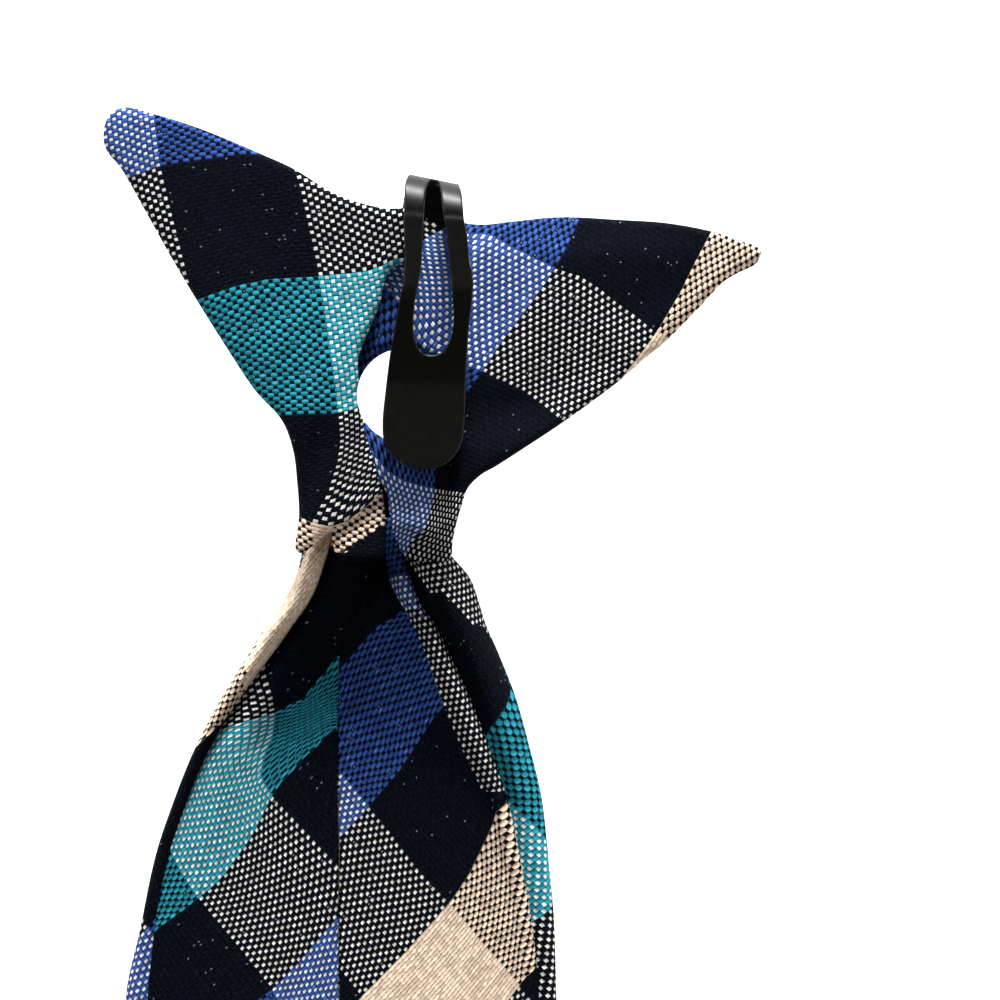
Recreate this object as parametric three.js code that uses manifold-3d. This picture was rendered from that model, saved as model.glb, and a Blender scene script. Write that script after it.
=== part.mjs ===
// A plaid clip-on tie lying on its front, seen from the back.
// Two pointed cloth wings meet in a small loop over a short knot. A folded blade runs down from
// the knot, and a sprung steel clip straddles the bridge at the top of the loop.
// Millimetres, +Z up, +Y towards the wings. The tie is modelled from the throat of the knot,
// and the whole group is moved at the end so that the middle of its base is the origin.

import * as THREE from 'three';
import { mergeVertices } from 'three/addons/utils/BufferGeometryUtils.js';
import Module from 'manifold-3d';

const wasm = await Module();
wasm.setup();

// Driving dimensions

const CLOTH = 2.0;             // a wing: two faces of cloth with a lining between them
const GAP = 0.3;               // clearance between pieces that touch

const LEFT_REACH = 37.0;       // throat to the left wing's tip, across
const RIGHT_REACH = 50.2;      // throat to the right wing's tip, across
const LOOP_RISE = 38.5;        // throat to the top edge of the bridge
const LEFT_TIP_RISE = 14.6;    // bridge to the left wing's tip
const WING_TIP_TOP = 4.4;      // height of the wings' tips above the surface
const LEG_HALF = 11.2;         // half the width of the two legs together
const LEG_DROP = 6.6;          // throat to the legs' hem
const BRIDGE_TOP = 11.7;       // height of the bridge's back face
const BRIDGE_ROLL = 1.1;       // how far the bridge's top edge turns down

const HOLE_RADIUS = 6.2;       // the round hole inside the loop
const HOLE_X = 2.8;
const HOLE_RISE = 15.0;

const KNOT_X = -0.8;           // middle of the knot, across
const KNOT_HALF = 10.5;        // half of its width at the hem
const KNOT_TOP_HALF = 11.3;    // half of its width at its upper end
const KNOT_THICK = 11.0;
const KNOT_RISE = 7.4;         // throat to its upper end
const KNOT_DROP = 6.4;         // throat to its lower end
const KNOT_WALL = 1.6;
const KNOT_SLIT = 6.0;         // the slit down its back, which the legs cover
const KNOT_SWELL = 0.35;       // how far its sides swell between the two ends

const BLADE_X = -5.9;          // the blade's centre seam, across
const BLADE_LENGTH = 317.0;    // throat to the point
const BLADE_HALF = 31.75;      // half of the widest width, where the point starts
const BLADE_WALL = 1.2;        // one layer of cloth and lining
const BLADE_FLAT = 3.4;        // thickness where the blade lies flat
const BLADE_ROLL = 9.4;        // height of the rolled margins beside the knot
const SEAM_SLIT = 0.8;         // between the two flaps that meet down the back
const SEAM_SINK = 0.6;         // how far the flaps may sink beside the seam
const NECK_SIDE_ROOM = 0.4;    // room for the gathered neck inside the knot, beyond the gap
const NECK_LOW_ROOM = 0.2;
const NECK_TOP_ROOM = 0.3;
const TIP_HALF = 2.6;          // half of the blunt end of the point

const CLIP_LENGTH = 38.2;      // bend to the end of the tongue
const CLIP_HALF = 5.5;         // half of the tongue's width
const CLIP_STEEL = 0.8;
const CLIP_SPREAD = 10.2;      // rear leg to front leg, centre to centre, at the bend
const CLIP_X = 6.7;            // middle of the bend, across
const CLIP_TILT = 2.0;         // degrees, tongue towards the left wing
const CLIP_SKEW = 0.17;        // slope of the bend's top edge
const CLIP_NIP = 2.4;          // how far the front leg dips towards the cloth at its nip
const LEG_BEND_AT = 0.38;      // share of the clip's length where the front leg bends down
const NIP_AT = 0.70;           // share of its length where it is lowest and turns up again
const CLIP_OVERHANG = 5.0;     // bend's top beyond the bridge's edge
const COLLAR_ROOM = 5.5;       // from the bridge's face up to the middle of the front leg
const REAR_GRIP = 0.4;         // how far the rear leg's end goes into the knot

// Heights that follow from them

const KNOT_SEAT = KNOT_THICK + GAP;
const LEG_TOP = KNOT_SEAT + CLOTH;
const LAP_TOP = BRIDGE_TOP + GAP + CLOTH;
const FRONT_LEG_Z = BRIDGE_TOP + COLLAR_ROOM;
const REAR_LEG_Z = FRONT_LEG_Z - CLIP_SPREAD;
const REAR_LEG = LOOP_RISE + CLIP_OVERHANG + REAR_GRIP - KNOT_RISE;

// Shares of the named sizes. across 1 is the legs' side and 2 the wing's tip. along 1 is the
// bridge's top edge, 2 the left wing's tip, 0 the throat and -1 the legs' hem.

const LEFT_OUTLINE = [
  { across: -1.99, along: 1.93 },
  { across: -1.98, along: 1.69 },
  { across: -1.90, along: 1.44 },
  { across: -1.76, along: 0.99 },
  { across: -1.60, along: 0.81 },
  { across: -1.45, along: 0.63 },
  { across: -1.31, along: 0.48 },
  { across: -1.15, along: 0.35 },
  { across: -1.05, along: 0.27 },
  { across: -1.00, along: 0.10 },
  { across: -0.98, along: -0.10 },
  { across: -1.00, along: -0.86 },
  { across: -0.76, along: -0.66 },
  { across: -0.58, along: -0.48 },
  { across: -0.47, along: -0.78 },
  { across: -0.25, along: -0.56 },
  { across: -0.03, along: -0.28 },
  { across: -0.02, along: 0.02 },
  { across: -0.06, along: 0.13 },
  { across: -0.27, along: 0.28 },
  { across: -0.30, along: 0.40 },
  { across: -0.15, along: 0.57 },
  { across: 0.00, along: 0.72 },
  { across: 0.07, along: 0.80 },
  { across: 0.23, along: 0.87 },
  { across: 0.28, along: 1.02 },
  { across: -0.45, along: 1.19 },
  { across: -1.07, along: 1.46 },
  { across: -1.39, along: 1.73 },
  { across: -1.68, along: 1.92 },
  { across: -1.88, along: 2.00 },
];

const RIGHT_OUTLINE = [
  { across: 0.55, along: 1.00 },
  { across: 1.01, along: 0.99 },
  { across: 1.36, along: 1.01 },
  { across: 1.60, along: 0.99 },
  { across: 1.83, along: 0.96 },
  { across: 1.98, along: 0.91 },
  { across: 1.99, along: 0.86 },
  { across: 1.79, along: 0.66 },
  { across: 1.62, along: 0.54 },
  { across: 1.45, along: 0.42 },
  { across: 1.31, along: 0.32 },
  { across: 1.14, along: 0.22 },
  { across: 1.03, along: 0.15 },
  { across: 0.96, along: 0.06 },
  { across: 0.90, along: -0.10 },
  { across: 0.83, along: -0.84 },
  { across: 0.57, along: -0.78 },
  { across: 0.28, along: -0.26 },
  { across: 0.10, along: 0.03 },
  { across: 0.03, along: 0.11 },
  { across: -0.08, along: 0.18 },
  { across: -0.10, along: 0.28 },
  { across: -0.36, along: 0.32 },
  { across: -0.52, along: 0.37 },
  { across: -0.56, along: 0.48 },
  { across: -0.48, along: 0.69 },
  { across: -0.21, along: 0.88 },
  { across: 0.11, along: 0.97 },
];

// One row for each fold: it runs from one place to another, is this wide to each side, and
// rises this much, or sinks where the rise is below zero.

const LEFT_FOLDS = [
  { from: [-0.15, 0.60], to: [-0.95, 0.30], width: 0.16, rise: 0.45 },
  { from: [-1.05, 0.50], to: [-1.40, 0.76], width: 0.16, rise: -0.40 },
  { from: [-0.55, 0.20], to: [-0.75, -0.50], width: 0.16, rise: 0.35 },
  { from: [-1.20, 0.90], to: [-1.90, 1.80], width: 0.30, rise: 0.50 },
];

const RIGHT_FOLDS = [
  { from: [0.95, 0.40], to: [1.30, 0.70], width: 0.20, rise: 0.40 },
  { from: [1.22, 0.34], to: [1.62, 0.62], width: 0.14, rise: -0.45 },
  { from: [0.30, 0.10], to: [0.60, -0.60], width: 0.14, rise: 0.35 },
  { from: [1.30, 0.80], to: [1.95, 0.90], width: 0.26, rise: 0.45 },
];

// The blade, a row for each section. down is a share of the blade's length. The next four are
// shares of its greatest half width from the seam: the left silhouette and crease, and the
// right crease and silhouette. The heights of the two rolls and two flaps are shares of the
// rolled margin's height, with trough beside the seam. lift is the height of the front panel.

const BLADE_ROWS = [
  { down: 0.0235, left: -0.16, fold: -0.05, pleat: 0.28, right: 0.49,
    rollLeft: 0.97, flapLeft: 0.62, trough: 0.38, flapRight: 0.66, rollRight: 1.00, lift: 0.22 },
  { down: 0.0315, left: -0.22, fold: -0.08, pleat: 0.32, right: 0.55,
    rollLeft: 1.00, flapLeft: 0.58, trough: 0.36, flapRight: 0.66, rollRight: 1.02, lift: 0.16 },
  { down: 0.0440, left: -0.30, fold: -0.17, pleat: 0.39, right: 0.62,
    rollLeft: 0.98, flapLeft: 0.58, trough: 0.34, flapRight: 0.70, rollRight: 0.98, lift: 0.07 },
  { down: 0.0600, left: -0.39, fold: -0.29, pleat: 0.47, right: 0.67,
    rollLeft: 0.92, flapLeft: 0.62, trough: 0.33, flapRight: 0.72, rollRight: 0.90, lift: 0.01 },
  { down: 0.0790, left: -0.49, fold: -0.41, pleat: 0.55, right: 0.74,
    rollLeft: 0.82, flapLeft: 0.66, trough: 0.33, flapRight: 0.70, rollRight: 0.80, lift: 0 },
  { down: 0.1000, left: -0.58, fold: -0.53, pleat: 0.63, right: 0.80,
    rollLeft: 0.70, flapLeft: 0.62, trough: 0.33, flapRight: 0.62, rollRight: 0.68, lift: 0 },
  { down: 0.1210, left: -0.68, fold: -0.63, pleat: 0.70, right: 0.85,
    rollLeft: 0.58, flapLeft: 0.50, trough: 0.33, flapRight: 0.52, rollRight: 0.57, lift: 0 },
  { down: 0.1460, left: -0.75, fold: -0.71, pleat: 0.76, right: 0.88,
    rollLeft: 0.48, flapLeft: 0.42, trough: 0.32, flapRight: 0.44, rollRight: 0.48, lift: 0 },
  { down: 0.1750, left: -0.82, fold: -0.77, pleat: 0.82, right: 0.90,
    rollLeft: 0.42, flapLeft: 0.37, trough: 0.32, flapRight: 0.39, rollRight: 0.42, lift: 0 },
  { down: 0.2040, left: -0.88, fold: -0.80, pleat: 0.84, right: 0.91,
    rollLeft: 0.39, flapLeft: 0.35, trough: 0.31, flapRight: 0.36, rollRight: 0.39, lift: 0 },
  { down: 0.3000, left: -0.93, fold: -0.87, pleat: 0.88, right: 0.94,
    rollLeft: 0.36, flapLeft: 0.33, trough: 0.30, flapRight: 0.33, rollRight: 0.36, lift: 0 },
  { down: 0.5000, left: -0.96, fold: -0.90, pleat: 0.90, right: 0.96,
    rollLeft: 0.34, flapLeft: 0.32, trough: 0.30, flapRight: 0.32, rollRight: 0.34, lift: 0 },
  { down: 0.7000, left: -0.98, fold: -0.92, pleat: 0.92, right: 0.98,
    rollLeft: 0.34, flapLeft: 0.32, trough: 0.30, flapRight: 0.32, rollRight: 0.34, lift: 0 },
];

// The clip's front leg, a row for each place down it. Shares of the clip's length and of half
// the tongue's width, to the left and right of the clip's own axis.

const CLIP_EDGE = [
  { down: 0.144, left: -0.66, right: 0.68 },
  { down: 0.180, left: -0.65, right: 0.78 },
  { down: 0.255, left: -0.62, right: 0.85 },
  { down: 0.360, left: -0.62, right: 1.00 },
  { down: 0.410, left: -0.68, right: 1.00 },
  { down: 0.470, left: -0.74, right: 0.98 },
  { down: 0.540, left: -0.81, right: 0.97 },
  { down: 0.600, left: -0.87, right: 0.96 },
  { down: 0.670, left: -0.92, right: 0.95 },
  { down: 0.740, left: -0.96, right: 0.95 },
  { down: 0.840, left: -1.02, right: 0.94 },
  { down: 0.910, left: -0.96, right: 0.92 },
  { down: 0.965, left: -0.66, right: 0.66 },
  { down: 1.000, left: -0.16, right: 0.14 },
];

// The rear leg, from its end in the knot up to the bend. down is a share of its own length, and
// height a share of the way from its seat in the knot up to the height of the bend's lower side.

const CLIP_REAR = [
  { down: 1.00, left: -0.55, right: 0.25, height: 0 },
  { down: 0.90, left: -0.60, right: 0.30, height: 0.12 },
  { down: 0.65, left: -0.74, right: 0.60, height: 0.52 },
  { down: 0.42, left: -0.84, right: 0.80, height: 0.84 },
  { down: 0.25, left: -0.84, right: 0.78, height: 0.97 },
];

const CLIP_SLOT = [
  { down: 0.035, left: -0.12, right: 0.16 },
  { down: 0.090, left: -0.18, right: 0.24 },
  { down: 0.165, left: -0.19, right: 0.33 },
  { down: 0.320, left: -0.21, right: 0.49 },
  { down: 0.410, left: -0.30, right: 0.56 },
  { down: 0.520, left: -0.34, right: 0.60 },
  { down: 0.580, left: -0.24, right: 0.46 },
  { down: 0.607, left: -0.02, right: 0.20 },
];

// Small helpers

function smooth(value) {
  const share = Math.min(1, Math.max(0, value));
  return share * share * (3 - 2 * share);
}

function mix(a, b, share) {
  return a + (b - a) * share;
}

function toGeometry(positions, indices) {
  const geometry = new THREE.BufferGeometry();
  geometry.setAttribute('position', new THREE.Float32BufferAttribute(positions, 3));
  geometry.setIndex(indices);
  return geometry;
}

function toSolid(geometry) {
  const bare = geometry.clone();
  bare.deleteAttribute('normal');
  bare.deleteAttribute('uv');
  const merged = mergeVertices(bare, 1e-4);
  const vertProperties = new Float32Array(merged.attributes.position.array);
  const triVerts = new Uint32Array(merged.index.array);
  return new wasm.Manifold(new wasm.Mesh({ numProp: 3, vertProperties, triVerts }));
}

function toMesh(solid, name, look) {
  const mesh = solid.getMesh();
  const geometry = toGeometry(Array.from(mesh.vertProperties), Array.from(mesh.triVerts));
  geometry.computeVertexNormals();
  const piece = new THREE.Mesh(geometry, new THREE.MeshStandardMaterial(look));
  piece.name = name;
  return piece;
}

// A closed solid through sections that all have the same number of points.

function loft(sections) {
  const positions = [];
  const indices = [];
  const count = sections[0].length;
  for (const section of sections) {
    for (const point of section) positions.push(point.x, point.y, point.z);
  }
  for (let row = 0; row + 1 < sections.length; row++) {
    for (let i = 0; i < count; i++) {
      const next = (i + 1) % count;
      const a = row * count + i;
      const b = row * count + next;
      const c = a + count;
      const d = b + count;
      indices.push(a, c, b, b, c, d);
    }
  }
  const half = count / 2;
  const last = (sections.length - 1) * count;
  for (let i = 0; i + 1 < half; i++) {
    const far = count - 1 - i;
    indices.push(i, i + 1, far, i + 1, far - 1, far);
    indices.push(last + i, last + far, last + i + 1, last + i + 1, last + far, last + far - 1);
  }
  return toGeometry(positions, indices);
}

// The wall of this thickness on both sides of an open line in one section's plane.

function wallSection(line, y, thickness) {
  const upper = [];
  const lower = [];
  line.forEach((point, i) => {
    const before = line[Math.max(0, i - 1)];
    const after = line[Math.min(line.length - 1, i + 1)];
    const normal = new THREE.Vector2(before.y - after.y, after.x - before.x).normalize();
    const reach = normal.multiplyScalar(thickness / 2);
    upper.push(new THREE.Vector3(point.x + reach.x, y, point.y + reach.y));
    lower.push(new THREE.Vector3(point.x - reach.x, y, point.y - reach.y));
  });
  return upper.concat(lower.reverse());
}

// A smooth line through the points that goes no lower than the floor given

function curveThrough(points, steps, floor) {
  const spine = points.map(([x, z]) => new THREE.Vector3(x, z, 0));
  const curve = new THREE.CatmullRomCurve3(spine, false, 'centripetal');
  const line = curve.getPoints(steps);
  return line.map((point) => new THREE.Vector2(point.x, Math.max(point.y, floor)));
}

// Upright prism over a closed outline

function prism(shape, from, to) {
  const geometry = new THREE.ExtrudeGeometry(shape, { depth: to - from, bevelEnabled: false });
  geometry.translate(0, 0, from);
  return toSolid(geometry);
}

// Wings: a slab draped over a height and cut to an outline

const TALL = LAP_TOP + CLIP_SPREAD;
const DRAPE_CELL = 2.6;

function place(share, reach) {
  const side = Math.abs(share.across);
  const across = side <= 1 ? side * LEG_HALF : LEG_HALF + (side - 1) * (reach - LEG_HALF);
  let along = share.along * LOOP_RISE;
  if (share.along < 0) along = share.along * LEG_DROP;
  if (share.along > 1) along = LOOP_RISE + (share.along - 1) * LEFT_TIP_RISE;
  return new THREE.Vector2(Math.sign(share.across) * across, along);
}

function outlineShape(rows, reach, stepsEach) {
  const spine = rows.map((row) => place(row, reach)).map((at) => new THREE.Vector3(at.x, at.y, 0));
  const curve = new THREE.CatmullRomCurve3(spine, true, 'centripetal');
  const points = curve.getPoints(rows.length * stepsEach);
  points.pop();
  return new THREE.Shape(points.map((point) => new THREE.Vector2(point.x, point.y)));
}

function relief(x, y, folds, reach) {
  let height = 0;
  for (const fold of folds) {
    const start = place({ across: fold.from[0], along: fold.from[1] }, reach);
    const end = place({ across: fold.to[0], along: fold.to[1] }, reach);
    const run = end.clone().sub(start);
    const here = new THREE.Vector2(x, y).sub(start);
    const share = Math.min(1, Math.max(0, here.dot(run) / run.lengthSq()));
    const away = here.sub(run.multiplyScalar(share)).length() / (fold.width * LEG_HALF * 2);
    height += fold.rise * CLOTH * Math.exp(-away * away);
  }
  return height;
}

function drapedSlab(low, high, topOf, cell) {
  const columns = Math.ceil((high.x - low.x) / cell);
  const rows = Math.ceil((high.y - low.y) / cell);
  const positions = [];
  const indices = [];
  const layer = (columns + 1) * (rows + 1);
  for (const drop of [0, CLOTH]) {
    for (let j = 0; j <= rows; j++) {
      for (let i = 0; i <= columns; i++) {
        const x = mix(low.x, high.x, i / columns);
        const y = mix(low.y, high.y, j / rows);
        positions.push(x, y, topOf(x, y) - drop);
      }
    }
  }
  const quad = (a, b, c, d) => indices.push(a, b, c, a, c, d);
  for (let j = 0; j < rows; j++) {
    for (let i = 0; i < columns; i++) {
      const a = j * (columns + 1) + i;
      const b = a + columns + 1;
      quad(a, a + 1, b + 1, b);
      quad(layer + a, layer + b, layer + b + 1, layer + a + 1);
    }
  }
  for (let i = 0; i < columns; i++) {
    const far = rows * (columns + 1) + i;
    quad(i, layer + i, layer + i + 1, i + 1);
    quad(far, far + 1, layer + far + 1, layer + far);
  }
  for (let j = 0; j < rows; j++) {
    const near = j * (columns + 1);
    const far = near + columns;
    quad(near, near + columns + 1, layer + near + columns + 1, layer + near);
    quad(far, layer + far, layer + far + columns + 1, far + columns + 1);
  }
  return toSolid(toGeometry(positions, indices));
}

function loopHole() {
  const rim = new THREE.Shape();
  rim.absarc(HOLE_X, HOLE_RISE, HOLE_RADIUS, 0, 2 * Math.PI);
  return prism(rim, -TALL, TALL);
}

function legBlend(y) {
  return smooth(1 - (y - KNOT_RISE) / (HOLE_RISE - KNOT_RISE));
}

function leftTop(x, y) {
  const out = smooth((-x - LEG_HALF * 0.6) / (LEFT_REACH - LEG_HALF * 0.6));
  const middle = mix(LAP_TOP, LEG_TOP, legBlend(y));
  return mix(middle, WING_TIP_TOP, out) + relief(x, y, LEFT_FOLDS, LEFT_REACH) * smooth(-x / 6);
}

function rightTop(x, y) {
  const out = smooth((x - LEG_HALF) / (RIGHT_REACH - LEG_HALF));
  const middle = mix(BRIDGE_TOP, LEG_TOP, legBlend(y) * smooth(1 + x / (HOLE_RADIUS / 2)));
  const roll = BRIDGE_ROLL * smooth((y / LOOP_RISE - 0.9) / 0.1) * (1 - out);
  return mix(middle, WING_TIP_TOP, out) - roll + relief(x, y, RIGHT_FOLDS, RIGHT_REACH);
}

function wing(name, rows, reach, topOf, look) {
  const outline = outlineShape(rows, reach, 2);
  const box = new THREE.Box2().setFromPoints(outline.getPoints());
  box.expandByScalar(CLOTH);
  const slab = drapedSlab(box.min, box.max, topOf, DRAPE_CELL);
  const cut = slab.intersect(prism(outline, -TALL, TALL)).subtract(loopHole());
  return toMesh(cut, name, look);
}

// Knot: one wall wrapped round the front and sides, with a slit down the back

function knotLine(half) {
  const low = KNOT_WALL / 2;
  const high = KNOT_THICK - KNOT_WALL / 2;
  const side = half - KNOT_WALL / 2;
  const left = [
    [-KNOT_SLIT / 2, high],
    [-side * 0.66, high - 0.15],
    [-side * 0.92, mix(low, high, 0.86)],
    [-side, mix(low, high, 0.5)],
    [-side * 0.94, mix(low, high, 0.14)],
    [-side * 0.78, low],
  ];
  const right = left.map(([x, z]) => [-x, z]).reverse();
  const points = [...left, [0, low], ...right].map(([x, z]) => [x + KNOT_X, z]);
  return curveThrough(points, 36, low);
}

function knot() {
  const steps = 5;
  const sections = [];
  for (let i = 0; i <= steps; i++) {
    const share = i / steps;
    const y = mix(KNOT_RISE, -KNOT_DROP, share);
    const half = mix(KNOT_TOP_HALF, KNOT_HALF, share) + KNOT_SWELL * Math.sin(Math.PI * share);
    sections.push(wallSection(knotLine(half), y, KNOT_WALL));
  }
  return toMesh(toSolid(loft(sections)), 'knot', { color: 0x10162c, roughness: 0.85 });
}

// Blade: front panel and two flaps in one folded wall, open down the seam

function bladeLine(row) {
  const base = BLADE_WALL / 2 + row.lift * BLADE_ROLL;
  const back = (share) => Math.max(share * BLADE_ROLL, BLADE_FLAT - SEAM_SINK) - BLADE_WALL / 2;
  const spot = (share) => BLADE_X + share * BLADE_HALF;
  const seam = (row.seam ?? 0) * BLADE_HALF;
  const inset = BLADE_WALL / 2;
  const side = (edge, crease, roll, flap, sign) => [
    [BLADE_X + seam + sign * SEAM_SLIT, back(row.trough)],
    [spot(crease * 0.45) + seam * 0.55, mix(back(row.trough), back(flap), 0.35)],
    [spot(crease * 0.82), back(flap)],
    [spot(mix(crease, edge, 0.45)), back(roll)],
    [spot(edge) - sign * inset, mix(base, back(roll), 0.5)],
    [spot(mix(crease, edge, 0.45)), base],
  ];
  const left = side(row.left, row.fold, row.rollLeft, row.flapLeft, -1);
  const right = side(row.right, row.pleat, row.rollRight, row.flapRight, 1);
  const points = [...left, [BLADE_X + seam, base], ...right.reverse()];
  return curveThrough(points, 44, base);
}

function bladeNeck(down) {
  const middle = (KNOT_X - BLADE_X) / BLADE_HALF;
  const half = (KNOT_HALF - KNOT_WALL - GAP - NECK_SIDE_ROOM) / BLADE_HALF;
  const low = (KNOT_WALL + GAP + NECK_LOW_ROOM) / BLADE_ROLL;
  const high = (KNOT_THICK - KNOT_WALL - GAP - NECK_TOP_ROOM) / BLADE_ROLL;
  return { down, left: middle - half, fold: middle - half * 0.55, pleat: middle + half * 0.55,
    right: middle + half, rollLeft: high, flapLeft: mix(low, high, 0.7), trough: mix(low, high, 0.62),
    flapRight: mix(low, high, 0.7), rollRight: high, lift: low, seam: middle };
}

function bladePoint() {
  const start = 1 - BLADE_HALF / BLADE_LENGTH;
  const rows = [];
  const steps = 4;
  for (let i = 0; i <= steps; i++) {
    const share = i / steps;
    const half = mix(1, TIP_HALF / BLADE_HALF, share);
    const crease = Math.max(half * 0.55, half - 0.07);
    rows.push({ down: mix(start, 1, share), left: -half, fold: -crease, pleat: crease, right: half,
      rollLeft: 0.34, flapLeft: 0.32, trough: 0.32, flapRight: 0.32, rollRight: 0.34, lift: 0 });
  }
  return rows;
}

function blade() {
  const neck = [bladeNeck(-0.002), bladeNeck(KNOT_DROP / BLADE_LENGTH)];
  const rows = [...neck, ...BLADE_ROWS, ...bladePoint()];
  const sections = rows.map((row) => {
    return wallSection(bladeLine(row), -row.down * BLADE_LENGTH, BLADE_WALL);
  });
  return toMesh(toSolid(loft(sections)), 'blade', { color: 0x1b2f66, roughness: 0.85 });
}

// Clip: one strip of steel, bent double over the bridge. Each station holds its place down the
// clip, its height and its two edges.

function frontLegHeight(down) {
  const nip = FRONT_LEG_Z - CLIP_NIP;
  if (down < NIP_AT) return mix(FRONT_LEG_Z, nip, smooth((down - LEG_BEND_AT) / (NIP_AT - LEG_BEND_AT)));
  return mix(nip, FRONT_LEG_Z, ((down - NIP_AT) / (1 - NIP_AT)) ** 1.5);
}

function clipStations() {
  const bend = CLIP_SPREAD / 2;
  const middle = (REAR_LEG_Z + FRONT_LEG_Z) / 2;
  const bendAt = (bend + CLIP_STEEL / 2) / CLIP_LENGTH;
  const station = (down, z, edge) => ({
    y: -down * CLIP_LENGTH,
    z,
    left: edge.left * CLIP_HALF,
    right: edge.right * CLIP_HALF,
  });
  const seat = KNOT_WALL + GAP + CLIP_STEEL / 2 + 0.1;
  const from = CLIP_REAR[CLIP_REAR.length - 1];
  const rear = CLIP_REAR.map((row) => {
    const down = (row.down * REAR_LEG) / CLIP_LENGTH;
    return station(down, mix(seat, REAR_LEG_Z, row.height), row);
  });
  const stations = [...rear, station(bendAt, REAR_LEG_Z, from)];
  const turns = 8;
  for (let i = 1; i < turns; i++) {
    const angle = -Math.PI / 2 + (i / turns) * Math.PI;
    const edge = {
      left: mix(from.left, CLIP_EDGE[0].left, i / turns),
      right: mix(from.right, CLIP_EDGE[0].right, i / turns),
    };
    const down = bendAt - (bend * Math.cos(angle)) / CLIP_LENGTH;
    stations.push(station(down, middle + bend * Math.sin(angle), edge));
  }
  for (const row of CLIP_EDGE) {
    const down = Math.max(row.down, bendAt);
    stations.push(station(down, frontLegHeight(down), row));
  }
  return stations;
}

function clipSection(stations, i) {
  const here = stations[i];
  const before = stations[Math.max(0, i - 1)];
  const after = stations[Math.min(stations.length - 1, i + 1)];
  const normal = new THREE.Vector2(before.z - after.z, after.y - before.y).normalize();
  const y = normal.x * CLIP_STEEL / 2;
  const z = normal.y * CLIP_STEEL / 2;
  const near = (x) => smooth(1 + here.y / (CLIP_SPREAD * 0.8)) * CLIP_SKEW * x;
  return [
    new THREE.Vector3(here.right, here.y + y - near(here.right), here.z + z),
    new THREE.Vector3(here.left, here.y + y - near(here.left), here.z + z),
    new THREE.Vector3(here.left, here.y - y - near(here.left), here.z - z),
    new THREE.Vector3(here.right, here.y - y - near(here.right), here.z - z),
  ];
}

function slotShape() {
  const edge = (row, side) => new THREE.Vector2(row[side] * CLIP_HALF, -row.down * CLIP_LENGTH);
  const left = CLIP_SLOT.map((row) => edge(row, 'left'));
  const right = CLIP_SLOT.map((row) => edge(row, 'right'));
  return new THREE.Shape([...left, ...right.reverse()]);
}

function clip() {
  const stations = clipStations();
  const strip = loft(stations.map((_, i) => clipSection(stations, i)));
  const middle = (REAR_LEG_Z + FRONT_LEG_Z) / 2;
  const solid = toSolid(strip).subtract(prism(slotShape(), middle, TALL * 2));
  const piece = toMesh(solid, 'clip', { color: 0x1b1a17, roughness: 0.35, metalness: 0.6 });
  piece.position.set(CLIP_X, LOOP_RISE + CLIP_OVERHANG, 0);
  piece.rotation.z = THREE.MathUtils.degToRad(-CLIP_TILT);
  return piece;
}

// The whole tie, with the middle of its base at the origin

const tie = new THREE.Group();
const cloth = { color: 0x203a7c, roughness: 0.85 };
tie.add(
  wing('wing_left', LEFT_OUTLINE, LEFT_REACH, leftTop, cloth),
  wing('wing_right', RIGHT_OUTLINE, RIGHT_REACH, rightTop, cloth),
  knot(),
  blade(),
  clip(),
);
tie.updateMatrixWorld(true);
const extent = new THREE.Box3().setFromObject(tie, true);
const centre = extent.getCenter(new THREE.Vector3());
tie.position.set(-centre.x, -centre.y, -extent.min.z);

export default tie;
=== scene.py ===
"""A plaid clip-on tie that lies on its front and is seen from its back.

The pieces are two pointed wings that meet in a small loop, the knot under them, the long folded
blade and the lacquered steel clip over the bridge of the loop.
"""

import math

import bpy
import numpy as np
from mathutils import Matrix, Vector
from mathutils.geometry import delaunay_2d_cdt


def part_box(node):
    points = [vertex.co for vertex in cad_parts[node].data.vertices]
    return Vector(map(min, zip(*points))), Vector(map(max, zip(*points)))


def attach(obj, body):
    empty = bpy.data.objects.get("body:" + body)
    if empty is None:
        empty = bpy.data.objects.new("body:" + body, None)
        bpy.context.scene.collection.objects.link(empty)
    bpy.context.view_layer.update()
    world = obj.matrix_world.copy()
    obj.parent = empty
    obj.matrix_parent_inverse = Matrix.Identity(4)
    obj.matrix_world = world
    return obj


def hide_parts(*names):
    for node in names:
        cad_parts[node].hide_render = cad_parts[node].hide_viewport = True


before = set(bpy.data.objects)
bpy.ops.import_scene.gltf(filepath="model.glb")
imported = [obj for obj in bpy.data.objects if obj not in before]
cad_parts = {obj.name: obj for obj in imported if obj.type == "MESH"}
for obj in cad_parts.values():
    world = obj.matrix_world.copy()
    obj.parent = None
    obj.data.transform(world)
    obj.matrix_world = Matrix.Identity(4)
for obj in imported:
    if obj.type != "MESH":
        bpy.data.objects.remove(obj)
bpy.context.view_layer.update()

bl_info = {
    "name": "Plaid clip-on tie",
    "version": (1, 0, 0),
    "blender": (4, 5, 0),
    "location": "View3D > Sidebar > Tie",
    "description": "Builds the cloth and the clip of a plaid clip-on tie",
    "category": "Add Mesh",
}

# Sizes in millimetres, measured from the throat of the knot: +X right, +Y towards the wings

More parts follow.
